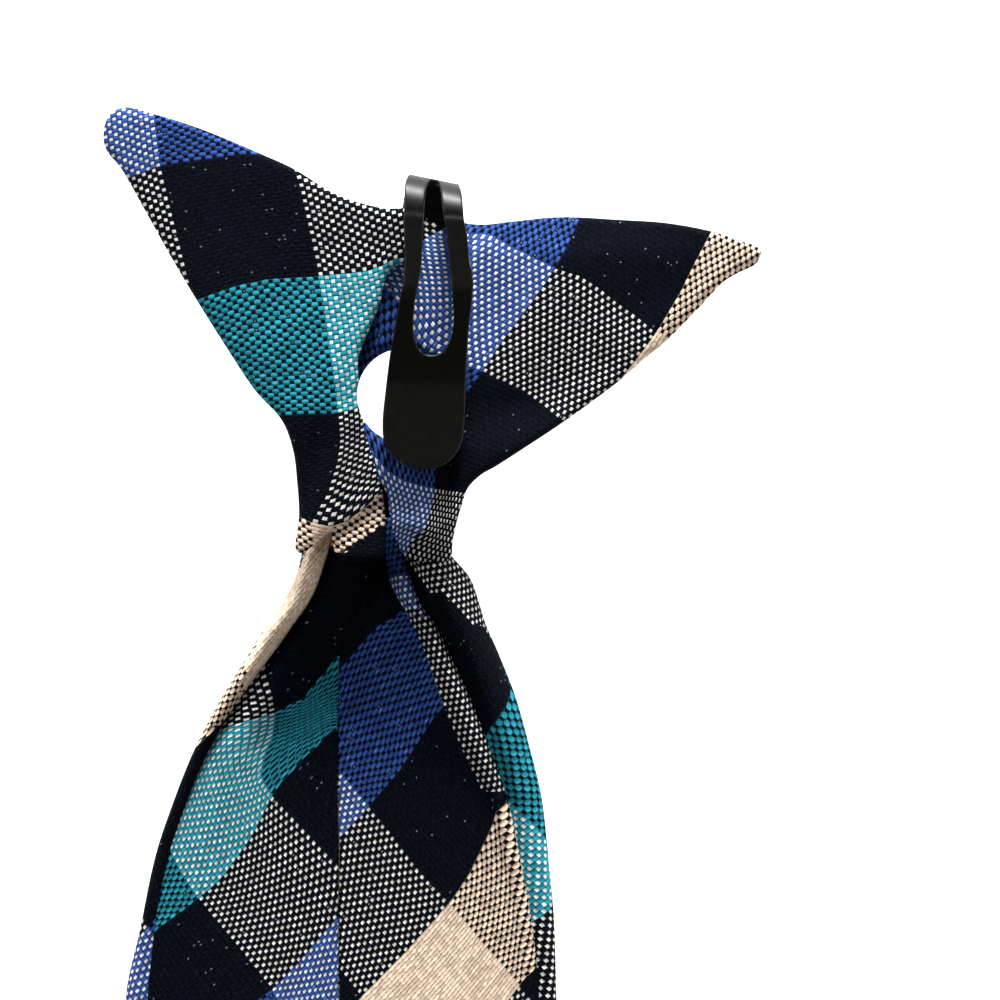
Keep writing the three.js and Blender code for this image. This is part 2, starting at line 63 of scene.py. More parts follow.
MM = 0.001
ON_EDGE = 0.001
CLOTH = 2.0
GAP = 0.3
LEFT_REACH = 37.0
RIGHT_REACH = 50.2
LOOP_RISE = 38.5
LEG_HALF = 11.2
WING_TIP_TOP = 4.4
BRIDGE_TOP = 11.7
BRIDGE_ROLL = 1.6
HOLE_RISE = 15.0
KNOT_X = -0.8
KNOT_HALF = 10.5
KNOT_TOP_HALF = 11.3
KNOT_THICK = 11.0
KNOT_RISE = 7.4
KNOT_DROP = 6.4
KNOT_WALL = 1.6
KNOT_SLIT = 6.0
BLADE_LENGTH = 317.0
BLADE_HALF = 31.75
BLADE_WALL = 1.2
LEG_TOP = KNOT_THICK + GAP + CLOTH
LAP_TOP = BRIDGE_TOP + GAP + CLOTH
CLIP_LENGTH = 38.2
CLIP_HALF = 5.5
CLIP_STEEL = 0.8
CLIP_SPREAD = 10.2
CLIP_X = 6.7
CLIP_TILT = 2.0
CLIP_SKEW = 0.17
SKEW_REACH = 0.8
CLIP_NIP = 2.4
CLIP_OVERHANG = 5.0
LEG_BEND_AT = 0.38
LEG_RISE = 0.9
TONGUE_LIFT = 0.7
NIP_AT = 0.70
FRONT_LEG_Z = BRIDGE_TOP + 5.5
REAR_LEG_Z = FRONT_LEG_Z - CLIP_SPREAD

# The chart: outlines, creases and stripe lines are written in photo pixels, x right and y down,
# and the throat of the knot is at THROAT.

PIXEL = 0.132
THROAT = (383.0, 510.0)
PHOTO_EDGE = 1000.0

knot_low, knot_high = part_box("knot")
blade_low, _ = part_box("blade")
ORIGIN_X = (knot_low[0] + knot_high[0]) / 2 / MM - KNOT_X
ORIGIN_Y = blade_low[1] / MM + BLADE_LENGTH

# The sett: a colour for each stripe of the colour yarn. The pair yarn has white and navy stripes.

BLUE, NAVY, TEAL, CREAM, WHITE = "blue", "navy", "teal", "cream", "white"
SETT = (BLUE, NAVY, TEAL, NAVY, CREAM, NAVY)
THREADS_COLOUR = 32
THREADS_PAIR = 23
STRIPE = 16.4

TINY = 1e-12


def smooth(value):
    """Zero to one along a soft step."""
    share = np.clip(value, 0, 1)
    return share * share * (3 - 2 * share)


def mix(a, b, share):
    return a + (b - a) * share


def from_photo(points):
    """Photo pixels as millimetres from the throat."""
    points = np.asarray(points, float)
    return np.stack([(points[:, 0] - THROAT[0]) * PIXEL, (THROAT[1] - points[:, 1]) * PIXEL], 1)


def to_photo(x, y):
    return x / PIXEL + THROAT[0], THROAT[1] - y / PIXEL


# Outlines of the two wings in photo pixels

LEFT_WING = [
    (101, 134), (104, 148), (119, 167), (145, 212), (171, 258), (197, 301), (225, 345),
    (256, 391), (283, 421), (294, 450), (298, 482), (300, 515), (297, 550), (303, 553),
    (318, 542), (332, 531), (333, 540), (338, 556), (346, 561), (366, 561), (384, 556),
    (386, 530), (385, 510), (383, 492), (378, 470), (370, 446), (364, 427),
]
LEFT_WING_TOP = [
    (359, 361), (364, 345), (371, 329), (377, 314), (381, 304), (384, 288), (391, 271),
    (404, 262), (412, 240), (409, 212), (384, 210), (339, 197), (294, 170), (264, 156),
    (202, 129), (152, 112), (122, 105), (106, 114),
]
LEFT_HEM = [(332, 528), (340, 525), (349, 521), (357, 516), (364, 510), (370, 504), (376, 498),
            (384, 493)]
RIGHT_WING = [
    (352, 428), (360, 448), (370, 464), (379, 480), (388, 494), (390, 510), (393, 528), (399, 545),
    (405, 556), (418, 561), (436, 561), (450, 559), (453, 540), (458, 518), (463, 502), (468, 488),
    (481, 475), (495, 467), (523, 449), (565, 421), (619, 381), (643, 360), (664, 343),
    (698, 309), (726, 280), (741, 271), (757, 263), (763, 252), (760, 246), (741, 239),
    (713, 230), (668, 222), (618, 219), (559, 217), (510, 222), (480, 225), (430, 219),
    (395, 226),
    (367, 255), (344, 310), (337, 360), (339, 400), (350, 416),
]
HOLE_CENTRE = (404.5, 396.0)
HOLE_RADIUS = 47.0

# Stripe lines in photo pixels. The number is the stripe coordinate along that line.

LEFT_COLOUR_LINES = [
    (1, [(127, 177), (160, 165), (239, 156), (264, 156)]),
    (2, [(197, 300), (239, 286), (272, 280), (314, 278), (369, 273), (387, 266), (393, 261)]),
    (3, [(286, 416), (334, 415), (353, 411)]),
    (4, [(299, 515), (311, 522), (333, 527), (349, 521), (364, 510), (376, 498), (383, 494)]),
    (4.28, [(299, 552), (318, 556), (340, 556), (351, 545), (370, 533), (383, 524)]),
]
LEFT_PAIR_LINES = [
    (1, [(153, 113), (160, 165), (190, 284)]),
    (2, [(294, 170), (301, 190), (319, 274), (339, 413), (341, 440), (338, 462), (328, 494),
         (311, 521)]),
    (1, [(205, 400), (215, 450)]),
]
RIGHT_COLOUR_LINES = [
    (1, [(372, 268), (388, 258), (404, 249), (425, 240), (447, 228)]),
    (0, [(579, 220), (567, 247), (557, 266), (529, 307), (504, 340), (486, 368), (462, 402),
         (442, 440), (436, 468), (436, 494), (431, 513), (427, 529), (412, 537), (407, 548),
         (406, 562)]),
    (-1, [(713, 229), (697, 259), (678, 297), (654, 336)]),
    (-0.55, [(463, 500), (457, 520), (453, 545)]),
    (1, [(330, 400), (340, 460), (352, 510)]),
]
RIGHT_PAIR_LINES = [
    (2, [(444, 235), (490, 234), (510, 247), (531, 257), (555, 269), (579, 275), (599, 287),
         (618, 303), (638, 316), (654, 330)]),
    (3, [(390, 292), (402, 306), (412, 332), (424, 352), (450, 362), (480, 371), (492, 378),
         (520, 390), (539, 403), (559, 420)]),
    (4, [(368, 440), (376, 456), (388, 471), (407, 482), (428, 487), (448, 490), (470, 492)]),
    (5, [(376, 600), (410, 612), (455, 618)]),
]
# Line 3.3 on the left flap and line 1 on the right flap keep navy stripes in the deep trough under
# the knot; there the navy is partly the sett's colour and partly painted shade for the trough
FLAP_LEFT_COLOUR_LINES = [
    (4.25, [(333, 527), (349, 521), (364, 510), (376, 498), (383, 494)]),
    (4, [(322, 534), (330, 548), (339, 559), (344, 550), (352, 545), (361, 540), (370, 533),
         (383, 524)]),
    (3.75, [(318, 578), (330, 572), (384, 550)]),
    (3.3, [(392, 590), (384, 605), (366, 622), (346, 640)]),
    (3, [(222, 730), (254, 719), (273, 714), (302, 701), (323, 674), (334, 653)]),
    (2, [(154, 932), (197, 901), (220, 880), (249, 839), (270, 797), (280, 783), (305, 756),
         (329, 730)]),
    (1, [(275, 989), (300, 962), (337, 919)]),
]
FLAP_LEFT_PAIR_LINES = [
    (2, [(170, 855), (174, 864), (197, 901), (235, 948), (272, 994)]),
    (3, [(268, 665), (273, 712), (271, 739), (261, 756), (257, 780), (270, 797), (300, 828),
         (337, 867)]),
    (4, [(420, 500), (410, 570), (400, 640), (400, 720)]),
]
FLAP_RIGHT_COLOUR_LINES = [
    (1.5, [(376, 535), (380, 560), (386, 585)]),
    (1, [(337, 672), (358, 648), (380, 625), (402, 612)]),
    (0, [(436, 717), (413, 752), (400, 772), (375, 800), (368, 809), (339, 839)]),
    (-1, [(505, 797), (490, 833), (470, 875), (452, 902), (447, 908), (406, 954), (360, 1000)]),
]
FLAP_RIGHT_PAIR_LINES = [
    (3, [(337, 771), (368, 807), (391, 835), (421, 875), (447, 902), (482, 945), (513, 980),
         (528, 997)]),
    (4, [(398, 560), (403, 580), (413, 601), (428, 633), (443, 679), (452, 719), (469, 762),
         (502, 789)]),
]

# The blade's sections. y and the places across are photo pixels, the heights millimetres.
# edge is the silhouette, crease the pressed fold inside it, bulge and dip the flap's own waves.

BLADE_COLUMNS = (
    "y", "edge_l", "crease_l", "bulge_l", "dip_l", "seam", "dip_r", "strip_in", "strip", "crease_r",
    "edge_r", "roll_l", "fold_l", "wave_l", "low_l", "floor", "low_r", "rim_r", "wave_r", "fold_r",
    "roll_r", "lift",
)
BLADE_ROWS = [
    (512, 318, 333, 342, 355, 380, 388, 391, 396, 400, 434,
     7.0, 5.8, 6.2, 5.2, 4.2, 4.2, 4.8, 5.4, 5.6, 7.0, 2.3),
    (530, 312, 333, 339, 352, 384, 386, 388, 394, 400, 438,
     7.6, 5.8, 6.8, 5.2, 3.2, 3.2, 5.2, 6.2, 5.8, 7.6, 2.3),
    (545, 304, 331, 337, 351, 383, 386, 389, 396, 403, 444,
     9.2, 5.8, 7.4, 5.2, 2.6, 2.6, 5.6, 6.8, 6.2, 8.4, 2.2),
    (554, 301, 328, 336, 351, 382, 386, 389, 396, 404, 449,
     9.6, 5.8, 7.5, 5.2, 2.6, 2.6, 5.6, 6.8, 6.2, 8.8, 2.1),
    (565, 299, 324, 333, 349, 378, 385, 391, 399, 407, 459,
     9.7, 5.8, 7.5, 5.0, 2.4, 2.4, 5.9, 7.4, 6.3, 9.7, 1.8),
    (580, 294, 319, 329, 344, 372, 383, 393, 403, 411, 470,
     9.6, 5.8, 7.4, 4.8, 2.2, 2.2, 6.1, 7.8, 6.3, 10.0, 1.0),
    (600, 284, 310, 321, 337, 362, 378, 402, 411, 418, 477,
     9.5, 5.8, 7.2, 4.6, 2.1, 2.2, 6.3, 7.9, 6.3, 9.6, 0.4),
    (625, 265, 292, 306, 325, 346, 366, 415, 426, 435, 485,
     9.0, 5.8, 6.9, 4.4, 2.1, 2.2, 6.5, 7.7, 6.0, 8.9, 0.15),
    (650, 250, 274, 290, 313, 338, 358, 426, 438, 447, 496,
     8.2, 5.6, 6.7, 4.3, 2.3, 2.5, 6.5, 7.5, 5.8, 8.1, 0.05),
    (700, 219, 237, 258, 295, 337, 364, 443, 459, 470, 516,
     6.8, 5.1, 6.2, 4.0, 2.7, 2.8, 6.0, 6.8, 5.2, 6.9, 0.0),
    (750, 193, 207, 236, 268, 337, 374, 463, 479, 489, 530,
     5.6, 4.5, 5.7, 3.5, 2.9, 3.0, 5.2, 5.9, 4.6, 6.0, 0.0),
    (800, 173, 185, 226, 270, 337, 380, 486, 498, 507, 542,
     4.9, 4.0, 5.0, 3.3, 3.0, 3.1, 4.5, 5.0, 4.1, 5.2, 0.0),
    (860, 153, 165, 215, 275, 338, 390, 503, 512, 520, 549,
     4.4, 3.8, 4.3, 3.2, 3.1, 3.2, 4.0, 4.4, 3.8, 4.6, 0.0),
    (930, 138, 152, 205, 275, 338, 395, 514, 524, 533, 555,
     4.1, 3.6, 3.9, 3.2, 3.1, 3.2, 3.7, 4.0, 3.6, 4.2, 0.0),
    (1000, 123, 145, 200, 275, 338, 400, 520, 530, 540, 557,
     3.9, 3.4, 3.7, 3.2, 3.1, 3.2, 3.5, 3.7, 3.4, 3.9, 0.0),
    (1250, 113, 133, 190, 270, 338, 405, 523, 536, 546, 563,
     3.6, 3.2, 3.5, 3.2, 3.1, 3.2, 3.4, 3.5, 3.2, 3.6, 0.0),
    (1800, 105, 122, 185, 268, 338, 408, 530, 544, 556, 571,
     3.5, 3.2, 3.4, 3.2, 3.1, 3.2, 3.3, 3.4, 3.2, 3.5, 0.0),
]


def smooth_columns(rows, at):
    """Every column of the table at each y, through a curve without overshoot."""
    table = np.array(rows, float)
    ys = table[:, 0]
    out = []
    for column in table.T:
        slope = np.diff(column) / np.diff(ys)
        product = slope[1:] * slope[:-1]
        total = slope[1:] + slope[:-1]
        inner = np.where(product > 0, 2 * product / np.where(total == 0, 1, total), 0)
        tangent = np.concatenate([[slope[0]], inner, [slope[-1]]])
        k = np.clip(np.searchsorted(ys, at) - 1, 0, len(ys) - 2)
        step = ys[k + 1] - ys[k]
        t = (at - ys[k]) / step
        a, b = column[k], column[k + 1]
        out.append(
            a * (2 * t**3 - 3 * t**2 + 1)
            + b * (3 * t**2 - 2 * t**3)
            + step * tangent[k] * (t**3 - 2 * t**2 + t)
            + step * tangent[k + 1] * (t**3 - t**2)
        )
    return np.stack(out, 1)


SHORTEST = 1e-6


def spline(points, steps, closed=False):
    """Centripetal curve through the points, with the same number of steps on each stretch."""
    points = np.asarray(points, float)
    count = len(points)
    spans = count if closed else count - 1
    out = []
    for i in range(spans):
        if closed:
            four = [points[(i + k) % count] for k in (-1, 0, 1, 2)]
        else:
            before = points[i - 1] if i else 2 * points[0] - points[1]
            after = points[i + 2] if i + 2 < count else 2 * points[-1] - points[-2]
            four = [before, points[i], points[i + 1], after]
        t = [0.0]
        for a, b in zip(four, four[1:]):
            t.append(t[-1] + max(np.linalg.norm(b - a), SHORTEST) ** 0.5)
        at = np.linspace(t[1], t[2], steps, endpoint=False)[:, None]
        a1 = ((t[1] - at) * four[0] + (at - t[0]) * four[1]) / (t[1] - t[0])
        a2 = ((t[2] - at) * four[1] + (at - t[1]) * four[2]) / (t[2] - t[1])
        a3 = ((t[3] - at) * four[2] + (at - t[2]) * four[3]) / (t[3] - t[2])
        b1 = ((t[2] - at) * a1 + (at - t[0]) * a2) / (t[2] - t[0])
        b2 = ((t[3] - at) * a2 + (at - t[1]) * a3) / (t[3] - t[1])
        out.append(((t[2] - at) * b1 + (at - t[1]) * b2) / (t[2] - t[1]))
    if not closed:
        out.append(points[-1:])
    return np.concatenate(out)


def run_along(line):
    """The way from a line's first point to each of its points."""
    return np.concatenate([[0], np.cumsum(np.linalg.norm(np.diff(line, axis=0), axis=1))])


def resample(line, spacing, closed=False):
    """The same line with even spacing."""
    if closed:
        line = np.concatenate([line, line[:1]])
    run = run_along(line)
    count = max(12 if closed else 3, int(run[-1] / spacing))
    at = np.linspace(0, run[-1], count, endpoint=not closed)
    return np.stack([np.interp(at, run, line[:, k]) for k in (0, 1)], 1)


def distance_to(points, loops):
    """Distance of each point to the nearest side of the closed loops."""
    best = np.full(len(points), np.inf)
    for loop in loops:
        for a, b in zip(loop, np.roll(loop, -1, axis=0)):
            side = b - a
            share = np.clip(((points - a) @ side) / max(side @ side, TINY), 0, 1)
            away = points - (a + share[:, None] * side)
            best = np.minimum(best, np.einsum("ij,ij->i", away, away))
    return np.sqrt(best)


def is_inside(points, loop):
    inside = np.zeros(len(points), bool)
    for (ax, ay), (bx, by) in zip(loop, np.roll(loop, -1, axis=0)):
        crosses = (ay > points[:, 1]) != (by > points[:, 1])
        at = ax + (points[:, 1] - ay) * (bx - ax) / (by - ay if by != ay else TINY)
        inside ^= crosses & (points[:, 0] < at)
    return inside


RIM_ROWS = (0.05, 0.18, 0.4, 0.7, 1.0)
RIM_ROOM = 0.93
GRID_ROOM = 0.4
MERGE = 1e-5


def plate(outline, holes, spacing, radius, seams=()):
    """Points and triangles inside an outline, with rows of points along its rounded edge."""
    loops = [outline, *holes]
    rows = []
    for loop in loops:
        ahead = np.roll(loop, -1, axis=0) - np.roll(loop, 1, axis=0)
        normal = np.stack([-ahead[:, 1], ahead[:, 0]], 1)
        normal /= np.linalg.norm(normal, axis=1)[:, None]
        for share in RIM_ROWS:
            for sign in (-1, 1):
                moved = loop + normal * sign * share * radius
                keep = distance_to(moved, loops) > share * radius * RIM_ROOM
                rows.append(moved[keep])
    low, high = outline.min(0), outline.max(0)
    xs = np.arange(low[0], high[0], spacing)
    ys = np.arange(low[1], high[1], spacing)
    grid = np.stack(np.meshgrid(xs, ys), -1).reshape(-1, 2)
    grid[:, 0] += (np.round((grid[:, 1] - low[1]) / spacing) % 2) * spacing / 2
    grid = grid[is_inside(grid, outline)]
    grid = grid[distance_to(grid, loops) > radius + spacing * GRID_ROOM]
    rings = np.concatenate(rows)
    rings = rings[is_inside(rings, outline)]
    for hole in holes:
        rings = rings[~is_inside(rings, hole)]
        grid = grid[~is_inside(grid, hole)]
    edge = np.concatenate(loops)
    points = np.concatenate([edge, rings, grid])
    edges = []
    start = 0
    for loop in loops:
        edges += [(start + i, start + (i + 1) % len(loop)) for i in range(len(loop))]
        start += len(loop)
    for seam in seams:
        first = len(points)
        points = np.concatenate([points, seam])
        edges += [(first + i, first + i + 1) for i in range(len(seam) - 1)]
    found = delaunay_2d_cdt([tuple(p) for p in points], edges, [], 0, MERGE)
    verts = np.array([tuple(v) for v in found[0]])
    tris = np.array([t for t in found[2] if len(t) == 3])
    middle = verts[tris].mean(1)
    keep = is_inside(middle, outline)
    for hole in holes:
        keep &= ~is_inside(middle, hole)
    verts, tris = only_used(verts, tris[keep])
    return verts, tris, distance_to(verts, loops)


def only_used(points, faces):
    """Leaves out the points that no face has."""
    used = np.unique(faces)
    renumber = np.full(len(points), -1)
    renumber[used] = np.arange(len(used))
    return points[used], renumber[faces]


def both_turns(verts, tris):
    """The flat triangles turned counter-clockwise, and the same ones clockwise."""
    a, b, c = (verts[tris[:, k]] for k in range(3))
    facing = (np.cross(b - a, c - a) > 0)[:, None]
    left_turned = np.where(facing, tris, tris[:, ::-1])
    return left_turned, left_turned[:, ::-1]


def make_object(name, verts, faces, uvs=None):
    """verts in millimetres from the throat; uvs holds a pair for each corner of each face."""
    placed = np.array(verts, float)
    placed[:, 0] += ORIGIN_X
    placed[:, 1] += ORIGIN_Y
    mesh = bpy.data.meshes.new(name)
    mesh.from_pydata((placed * MM).tolist(), [], [tuple(int(i) for i in f) for f in faces])
    if uvs is not None:
        layer = mesh.uv_layers.new(name="plaid")
        layer.uv.foreach_set("vector", np.asarray(uvs, np.float32).ravel())
    mesh.shade_smooth()
    mesh.validate()
    obj = bpy.data.objects.new(name, mesh)
    bpy.context.scene.collection.objects.link(obj)
    return obj


FIELD_SCALE = 100.0
FIELD_SLACK = 0.02


def stripe_field(lines):
    """A smooth function of the photo's x and y that has each line's number along that line."""
    spots = np.array([p for _, line in lines for p in line], float) / FIELD_SCALE
    values = np.array([number for number, line in lines for _ in line], float)
    apart = np.linalg.norm(spots[:, None] - spots[None], axis=2)
    count = len(spots)
    flat = np.concatenate([np.ones((count, 1)), spots], 1)
    system = np.zeros((count + 3, count + 3))
    system[:count, :count] = apart - FIELD_SLACK * np.eye(count)
    system[:count, count:] = flat
    system[count:, :count] = flat.T
    weights = np.linalg.solve(system, np.concatenate([values, np.zeros(3)]))

    def field(x, y):
        at = np.stack([np.asarray(x, float), np.asarray(y, float)], 1) / FIELD_SCALE
        value = weights[count] + at @ weights[count + 1:]
        for k in range(count):
            value += weights[k] * np.linalg.norm(at - spots[k], axis=1)
        return value

    return field


def reseat(yarns, stripes):
    """Moves each face's yarns by whole repeats of the weave, so that its stripes stay in place."""
    repeat = np.array([2 / THREADS_COLOUR, 2 / THREADS_PAIR])
    apart = yarns.mean(1) - stripes.mean(1)
    return yarns - (np.round(apart / repeat) * repeat)[:, None]


def straight_yarns(points, turn):
    """Yarn coordinates of flat cloth whose colour yarns lie turned by an angle from level."""
    angle = math.radians(turn)
    x, y = points[..., 0] / STRIPE, points[..., 1] / STRIPE
    along = x * math.cos(angle) + y * math.sin(angle)
    across = y * math.cos(angle) - x * math.sin(angle)
    return np.stack([across, along], -1)


def plaid_of(colour_lines, pair_lines):
    """A chart that gives the plaid pair at each x and y in millimetres."""
    colour = stripe_field(colour_lines)
    pair = stripe_field(pair_lines)

    def chart(x, y):
        px, py = to_photo(x, y)
        return np.stack([colour(px, py), pair(px, py)], 1)

    return chart


# Materials

class Tree:
    """Short ways to add nodes to one node tree."""

    def __init__(self, tree):
        self.tree = tree

    def node(self, kind, **settings):
        made = self.tree.nodes.new(kind)
        for key, value in settings.items():
            setattr(made, key, value)
        return made

    def link(self, source, target):
        self.tree.links.new(source, target)

    def feed(self, sockets, values):
        for socket, value in zip(sockets, values):
            if isinstance(value, bpy.types.NodeSocket):
                self.link(value, socket)
            else:
                socket.default_value = value

    def math(self, operation, *values):
        made = self.node("ShaderNodeMath", operation=operation)
        self.feed(made.inputs, values)
        return made.outputs[0]

    def add(self, a, b):
        return self.math("ADD", a, b)

    def subtract(self, a, b):
        return self.math("SUBTRACT", a, b)

    def multiply(self, a, b):
        return self.math("MULTIPLY", a, b)

    def range(self, value, low, high, to_low=0.0, to_high=1.0):
        made = self.node("ShaderNodeMapRange", interpolation_type="SMOOTHSTEP")
        self.feed(made.inputs, (value, low, high, to_low, to_high))
        return made.outputs[0]

    def blend(self, share, a, b, kind="MIX"):
        made = self.node("ShaderNodeMix", data_type="RGBA", blend_type=kind)
        self.feed([made.inputs[k] for k in (0, 6, 7)], (share, a, b))
        return made.outputs[2]

    def noise(self, place, scale, detail=2.0, dimensions="3D"):
        made = self.node("ShaderNodeTexNoise", noise_dimensions=dimensions)
        made.inputs["Scale"].default_value = scale
        made.inputs["Detail"].default_value = detail
        self.link(place, made.inputs["Vector"])
        return made.outputs[0]

    def bump(self, height, strength, distance, shader):
        made = self.node("ShaderNodeBump")
        made.inputs["Strength"].default_value = strength
        made.inputs["Distance"].default_value = distance
        self.link(height, made.inputs["Height"])
        self.link(made.outputs[0], shader.inputs["Normal"])


def new_group(name, inputs, outputs):
    group = bpy.data.node_groups.new(name, "ShaderNodeTree")
    for label, kind, default in inputs:
        socket = group.interface.new_socket(label, in_out="INPUT", socket_type=kind)
        if default is not None:
            socket.default_value = default
    for label, kind in outputs:
        group.interface.new_socket(label, in_out="OUTPUT", socket_type=kind)
    tree = Tree(group)
    return group, tree, tree.node("NodeGroupInput").outputs, tree.node("NodeGroupOutput").inputs


def new_material(name, settings):
    material = bpy.data.materials.new(name)
    material.use_nodes = True
    shader = material.node_tree.nodes["Principled BSDF"]
    for label, value in settings.items():
        shader.inputs[label].default_value = value
    return material, shader, Tree(material.node_tree)


# The weave. Places on a yarn are shares of its width, from 0 on its middle to 0.5 on its edge.

SWAY_SCALE = 9.0
SWAY = 0.012
DOT_SIDE = (0.35, 0.44)
DOT_END = (0.39, 0.50)
WHITE_TRIM = 0.08
CREAM_IN_PAIR = 0.75
YARN_TONES = (0.74, 1.14)
YARN_BEND = 1.9
PAIR_BEND = 2.6
YARN_SAG = (0.92, 0.72)
PLY_SPLIT = (0.10, 0.35)
FIBRE_SCALE = 260.0
FIBRE_RELIEF = 0.2
LOW_SHADE = 0.42
SHADE_TOP = 0.85
PINHOLE = (0.76, 0.92)
PINHOLE_SHADE = 0.18
BRIGHT_YARN = 0.972
GLINT = (0.12, 0.28)
GLINT_SHARE = 0.35
LINT = (0.67, 0.74)
LINT_SHARE = 0.12
LINT_COLOUR = (0.55, 0.6, 0.75, 1)


def plaid_group(colours):
    """Two yarns woven over and under each other: one has the sett, the other white and navy."""
    group, t, given, result = new_group(
        "Plaid weave",
        [
            ("Plaid", "NodeSocketVector", None),
            ("Colour threads", "NodeSocketFloat", THREADS_COLOUR),
            ("Pair threads", "NodeSocketFloat", THREADS_PAIR),
            ("Fuzz", "NodeSocketFloat", 0.5),
        ],
        [("Colour", "NodeSocketColor"), ("Height", "NodeSocketFloat")],
    )
    parts = t.node("ShaderNodeSeparateXYZ")
    t.link(given["Plaid"], parts.inputs[0])
    wobble = t.noise(given["Plaid"], SWAY_SCALE, dimensions="2D")
    sway = t.multiply(t.subtract(wobble, 0.5), SWAY)
    a = t.multiply(t.add(parts.outputs[0], sway), given["Colour threads"])
    b = t.multiply(t.subtract(parts.outputs[1], sway), given["Pair threads"])
    i = t.math("FLOOR", a)
    j = t.math("FLOOR", b)
    across = t.math("ABSOLUTE", t.subtract(t.math("FRACT", a), 0.5))
    along = t.math("ABSOLUTE", t.subtract(t.math("FRACT", b), 0.5))
    corner = t.add(along, across)
    parity = t.math("PINGPONG", t.add(i, j), 1.0)

    stripes = len(SETT)
    stripe = t.math("DIVIDE", t.add(i, 0.5), given["Colour threads"])
    turn = t.math("FRACT", t.math("DIVIDE", stripe, stripes))
    ramp = t.node("ShaderNodeValToRGB")
    ramp.color_ramp.interpolation = "CONSTANT"
    stops = ramp.color_ramp.elements
    stops[1].position = 1 / stripes
    for k, name in enumerate(SETT):
        stop = stops[k] if k < 2 else stops.new(k / stripes)
        stop.color = colours[name]
    t.link(turn, ramp.inputs[0])
    lane = t.math("DIVIDE", t.add(j, 0.5), given["Pair threads"])
    white = t.math("LESS_THAN", t.math("FRACT", t.math("DIVIDE", lane, 2)), 0.5)
    with_cream = t.math("COMPARE", turn, (SETT.index(CREAM) + 0.5) / stripes, 0.5 / stripes)
    pale = t.blend(t.multiply(with_cream, CREAM_IN_PAIR), colours[WHITE], colours[CREAM])
    pair = t.blend(white, colours[NAVY], pale)

    trim = t.multiply(white, WHITE_TRIM)
    side = t.range(t.add(along, trim), *DOT_SIDE, 1.0, 0.0)
    end = t.range(t.add(across, trim), *DOT_END, 1.0, 0.0)
    up = t.multiply(parity, t.multiply(side, end))

    fleck = t.node("ShaderNodeTexWhiteNoise", noise_dimensions="2D")
    cell = t.node("ShaderNodeCombineXYZ")
    t.feed(cell.inputs, (i, j))
    t.link(cell.outputs[0], fleck.inputs["Vector"])
    chance = fleck.outputs["Value"]
    tone = t.range(chance, 0.0, 1.0, *YARN_TONES)

    over = t.subtract(1.0, t.math("POWER", t.multiply(across, YARN_BEND), 4.0))
    split = t.range(along, 0.0, *PLY_SPLIT, 1.0)
    round_pair = t.subtract(1.0, t.math("POWER", t.multiply(along, PAIR_BEND), 2.0))
    height_pair = t.multiply(t.math("MAXIMUM", round_pair, 0.0), split)
    height_colour = t.multiply(over, t.range(along, 0.0, 0.5, *YARN_SAG))
    height = t.add(t.multiply(up, height_pair), t.multiply(t.subtract(1.0, up), height_colour))
    fuzz = t.noise(given["Plaid"], FIBRE_SCALE, 3.0, "2D")
    fibre = t.multiply(t.subtract(fuzz, 0.5), given["Fuzz"])
    shade = t.range(height, 0.0, SHADE_TOP, LOW_SHADE, 1.0)
    shade = t.multiply(shade, t.range(corner, *PINHOLE, 1.0, PINHOLE_SHADE))
    lit = t.multiply(t.multiply(shade, tone), t.add(1.0, fibre))
    grey = t.node("ShaderNodeCombineXYZ")
    t.feed(grey.inputs, (lit, lit, lit))
    colour = t.blend(up, ramp.outputs[0], pair)
    shaded = t.blend(1.0, colour, grey.outputs[0], "MULTIPLY")
    glint = t.multiply(t.math("GREATER_THAN", chance, BRIGHT_YARN),
                       t.range(corner, *GLINT, GLINT_SHARE, 0.0))
    lint = t.math("MAXIMUM", glint, t.range(fuzz, *LINT, 0.0, LINT_SHARE))
    t.link(t.blend(lint, shaded, LINT_COLOUR), result["Colour"])
    t.link(t.add(height, t.multiply(fibre, FIBRE_RELIEF)), result["Height"])
    return group


WEAVE_DEPTH = 0.00018


def cloth_material(name, group, bump):
    material, shader, t = new_material(name, {"Roughness": 0.78, "Specular IOR Level": 0.03})
    weave = t.node("ShaderNodeGroup", node_tree=group)
    spot = t.node("ShaderNodeUVMap", uv_map="plaid")
    t.link(spot.outputs[0], weave.inputs["Plaid"])
    t.link(weave.outputs["Colour"], shader.inputs["Base Color"])
    t.bump(weave.outputs["Height"], bump, WEAVE_DEPTH, shader)
    return material


GRAIN_SCALE = 900.0
GRAIN_SPAN = (0.3, 0.7)
GRAIN_STRENGTH = 0.08
CLOUD_SCALE = 140.0
# How pointy an edge must be, and how far it turns pale: a painted highlight on the clip's sharp
# edges
EDGE_HIGHLIGHT_SPAN = (0.56, 0.64)
EDGE_HIGHLIGHT_SHARE = 0.35
LACQUER_ROUGHNESS = (0.37, 0.41)
GRAIN_DEPTH = 0.0001


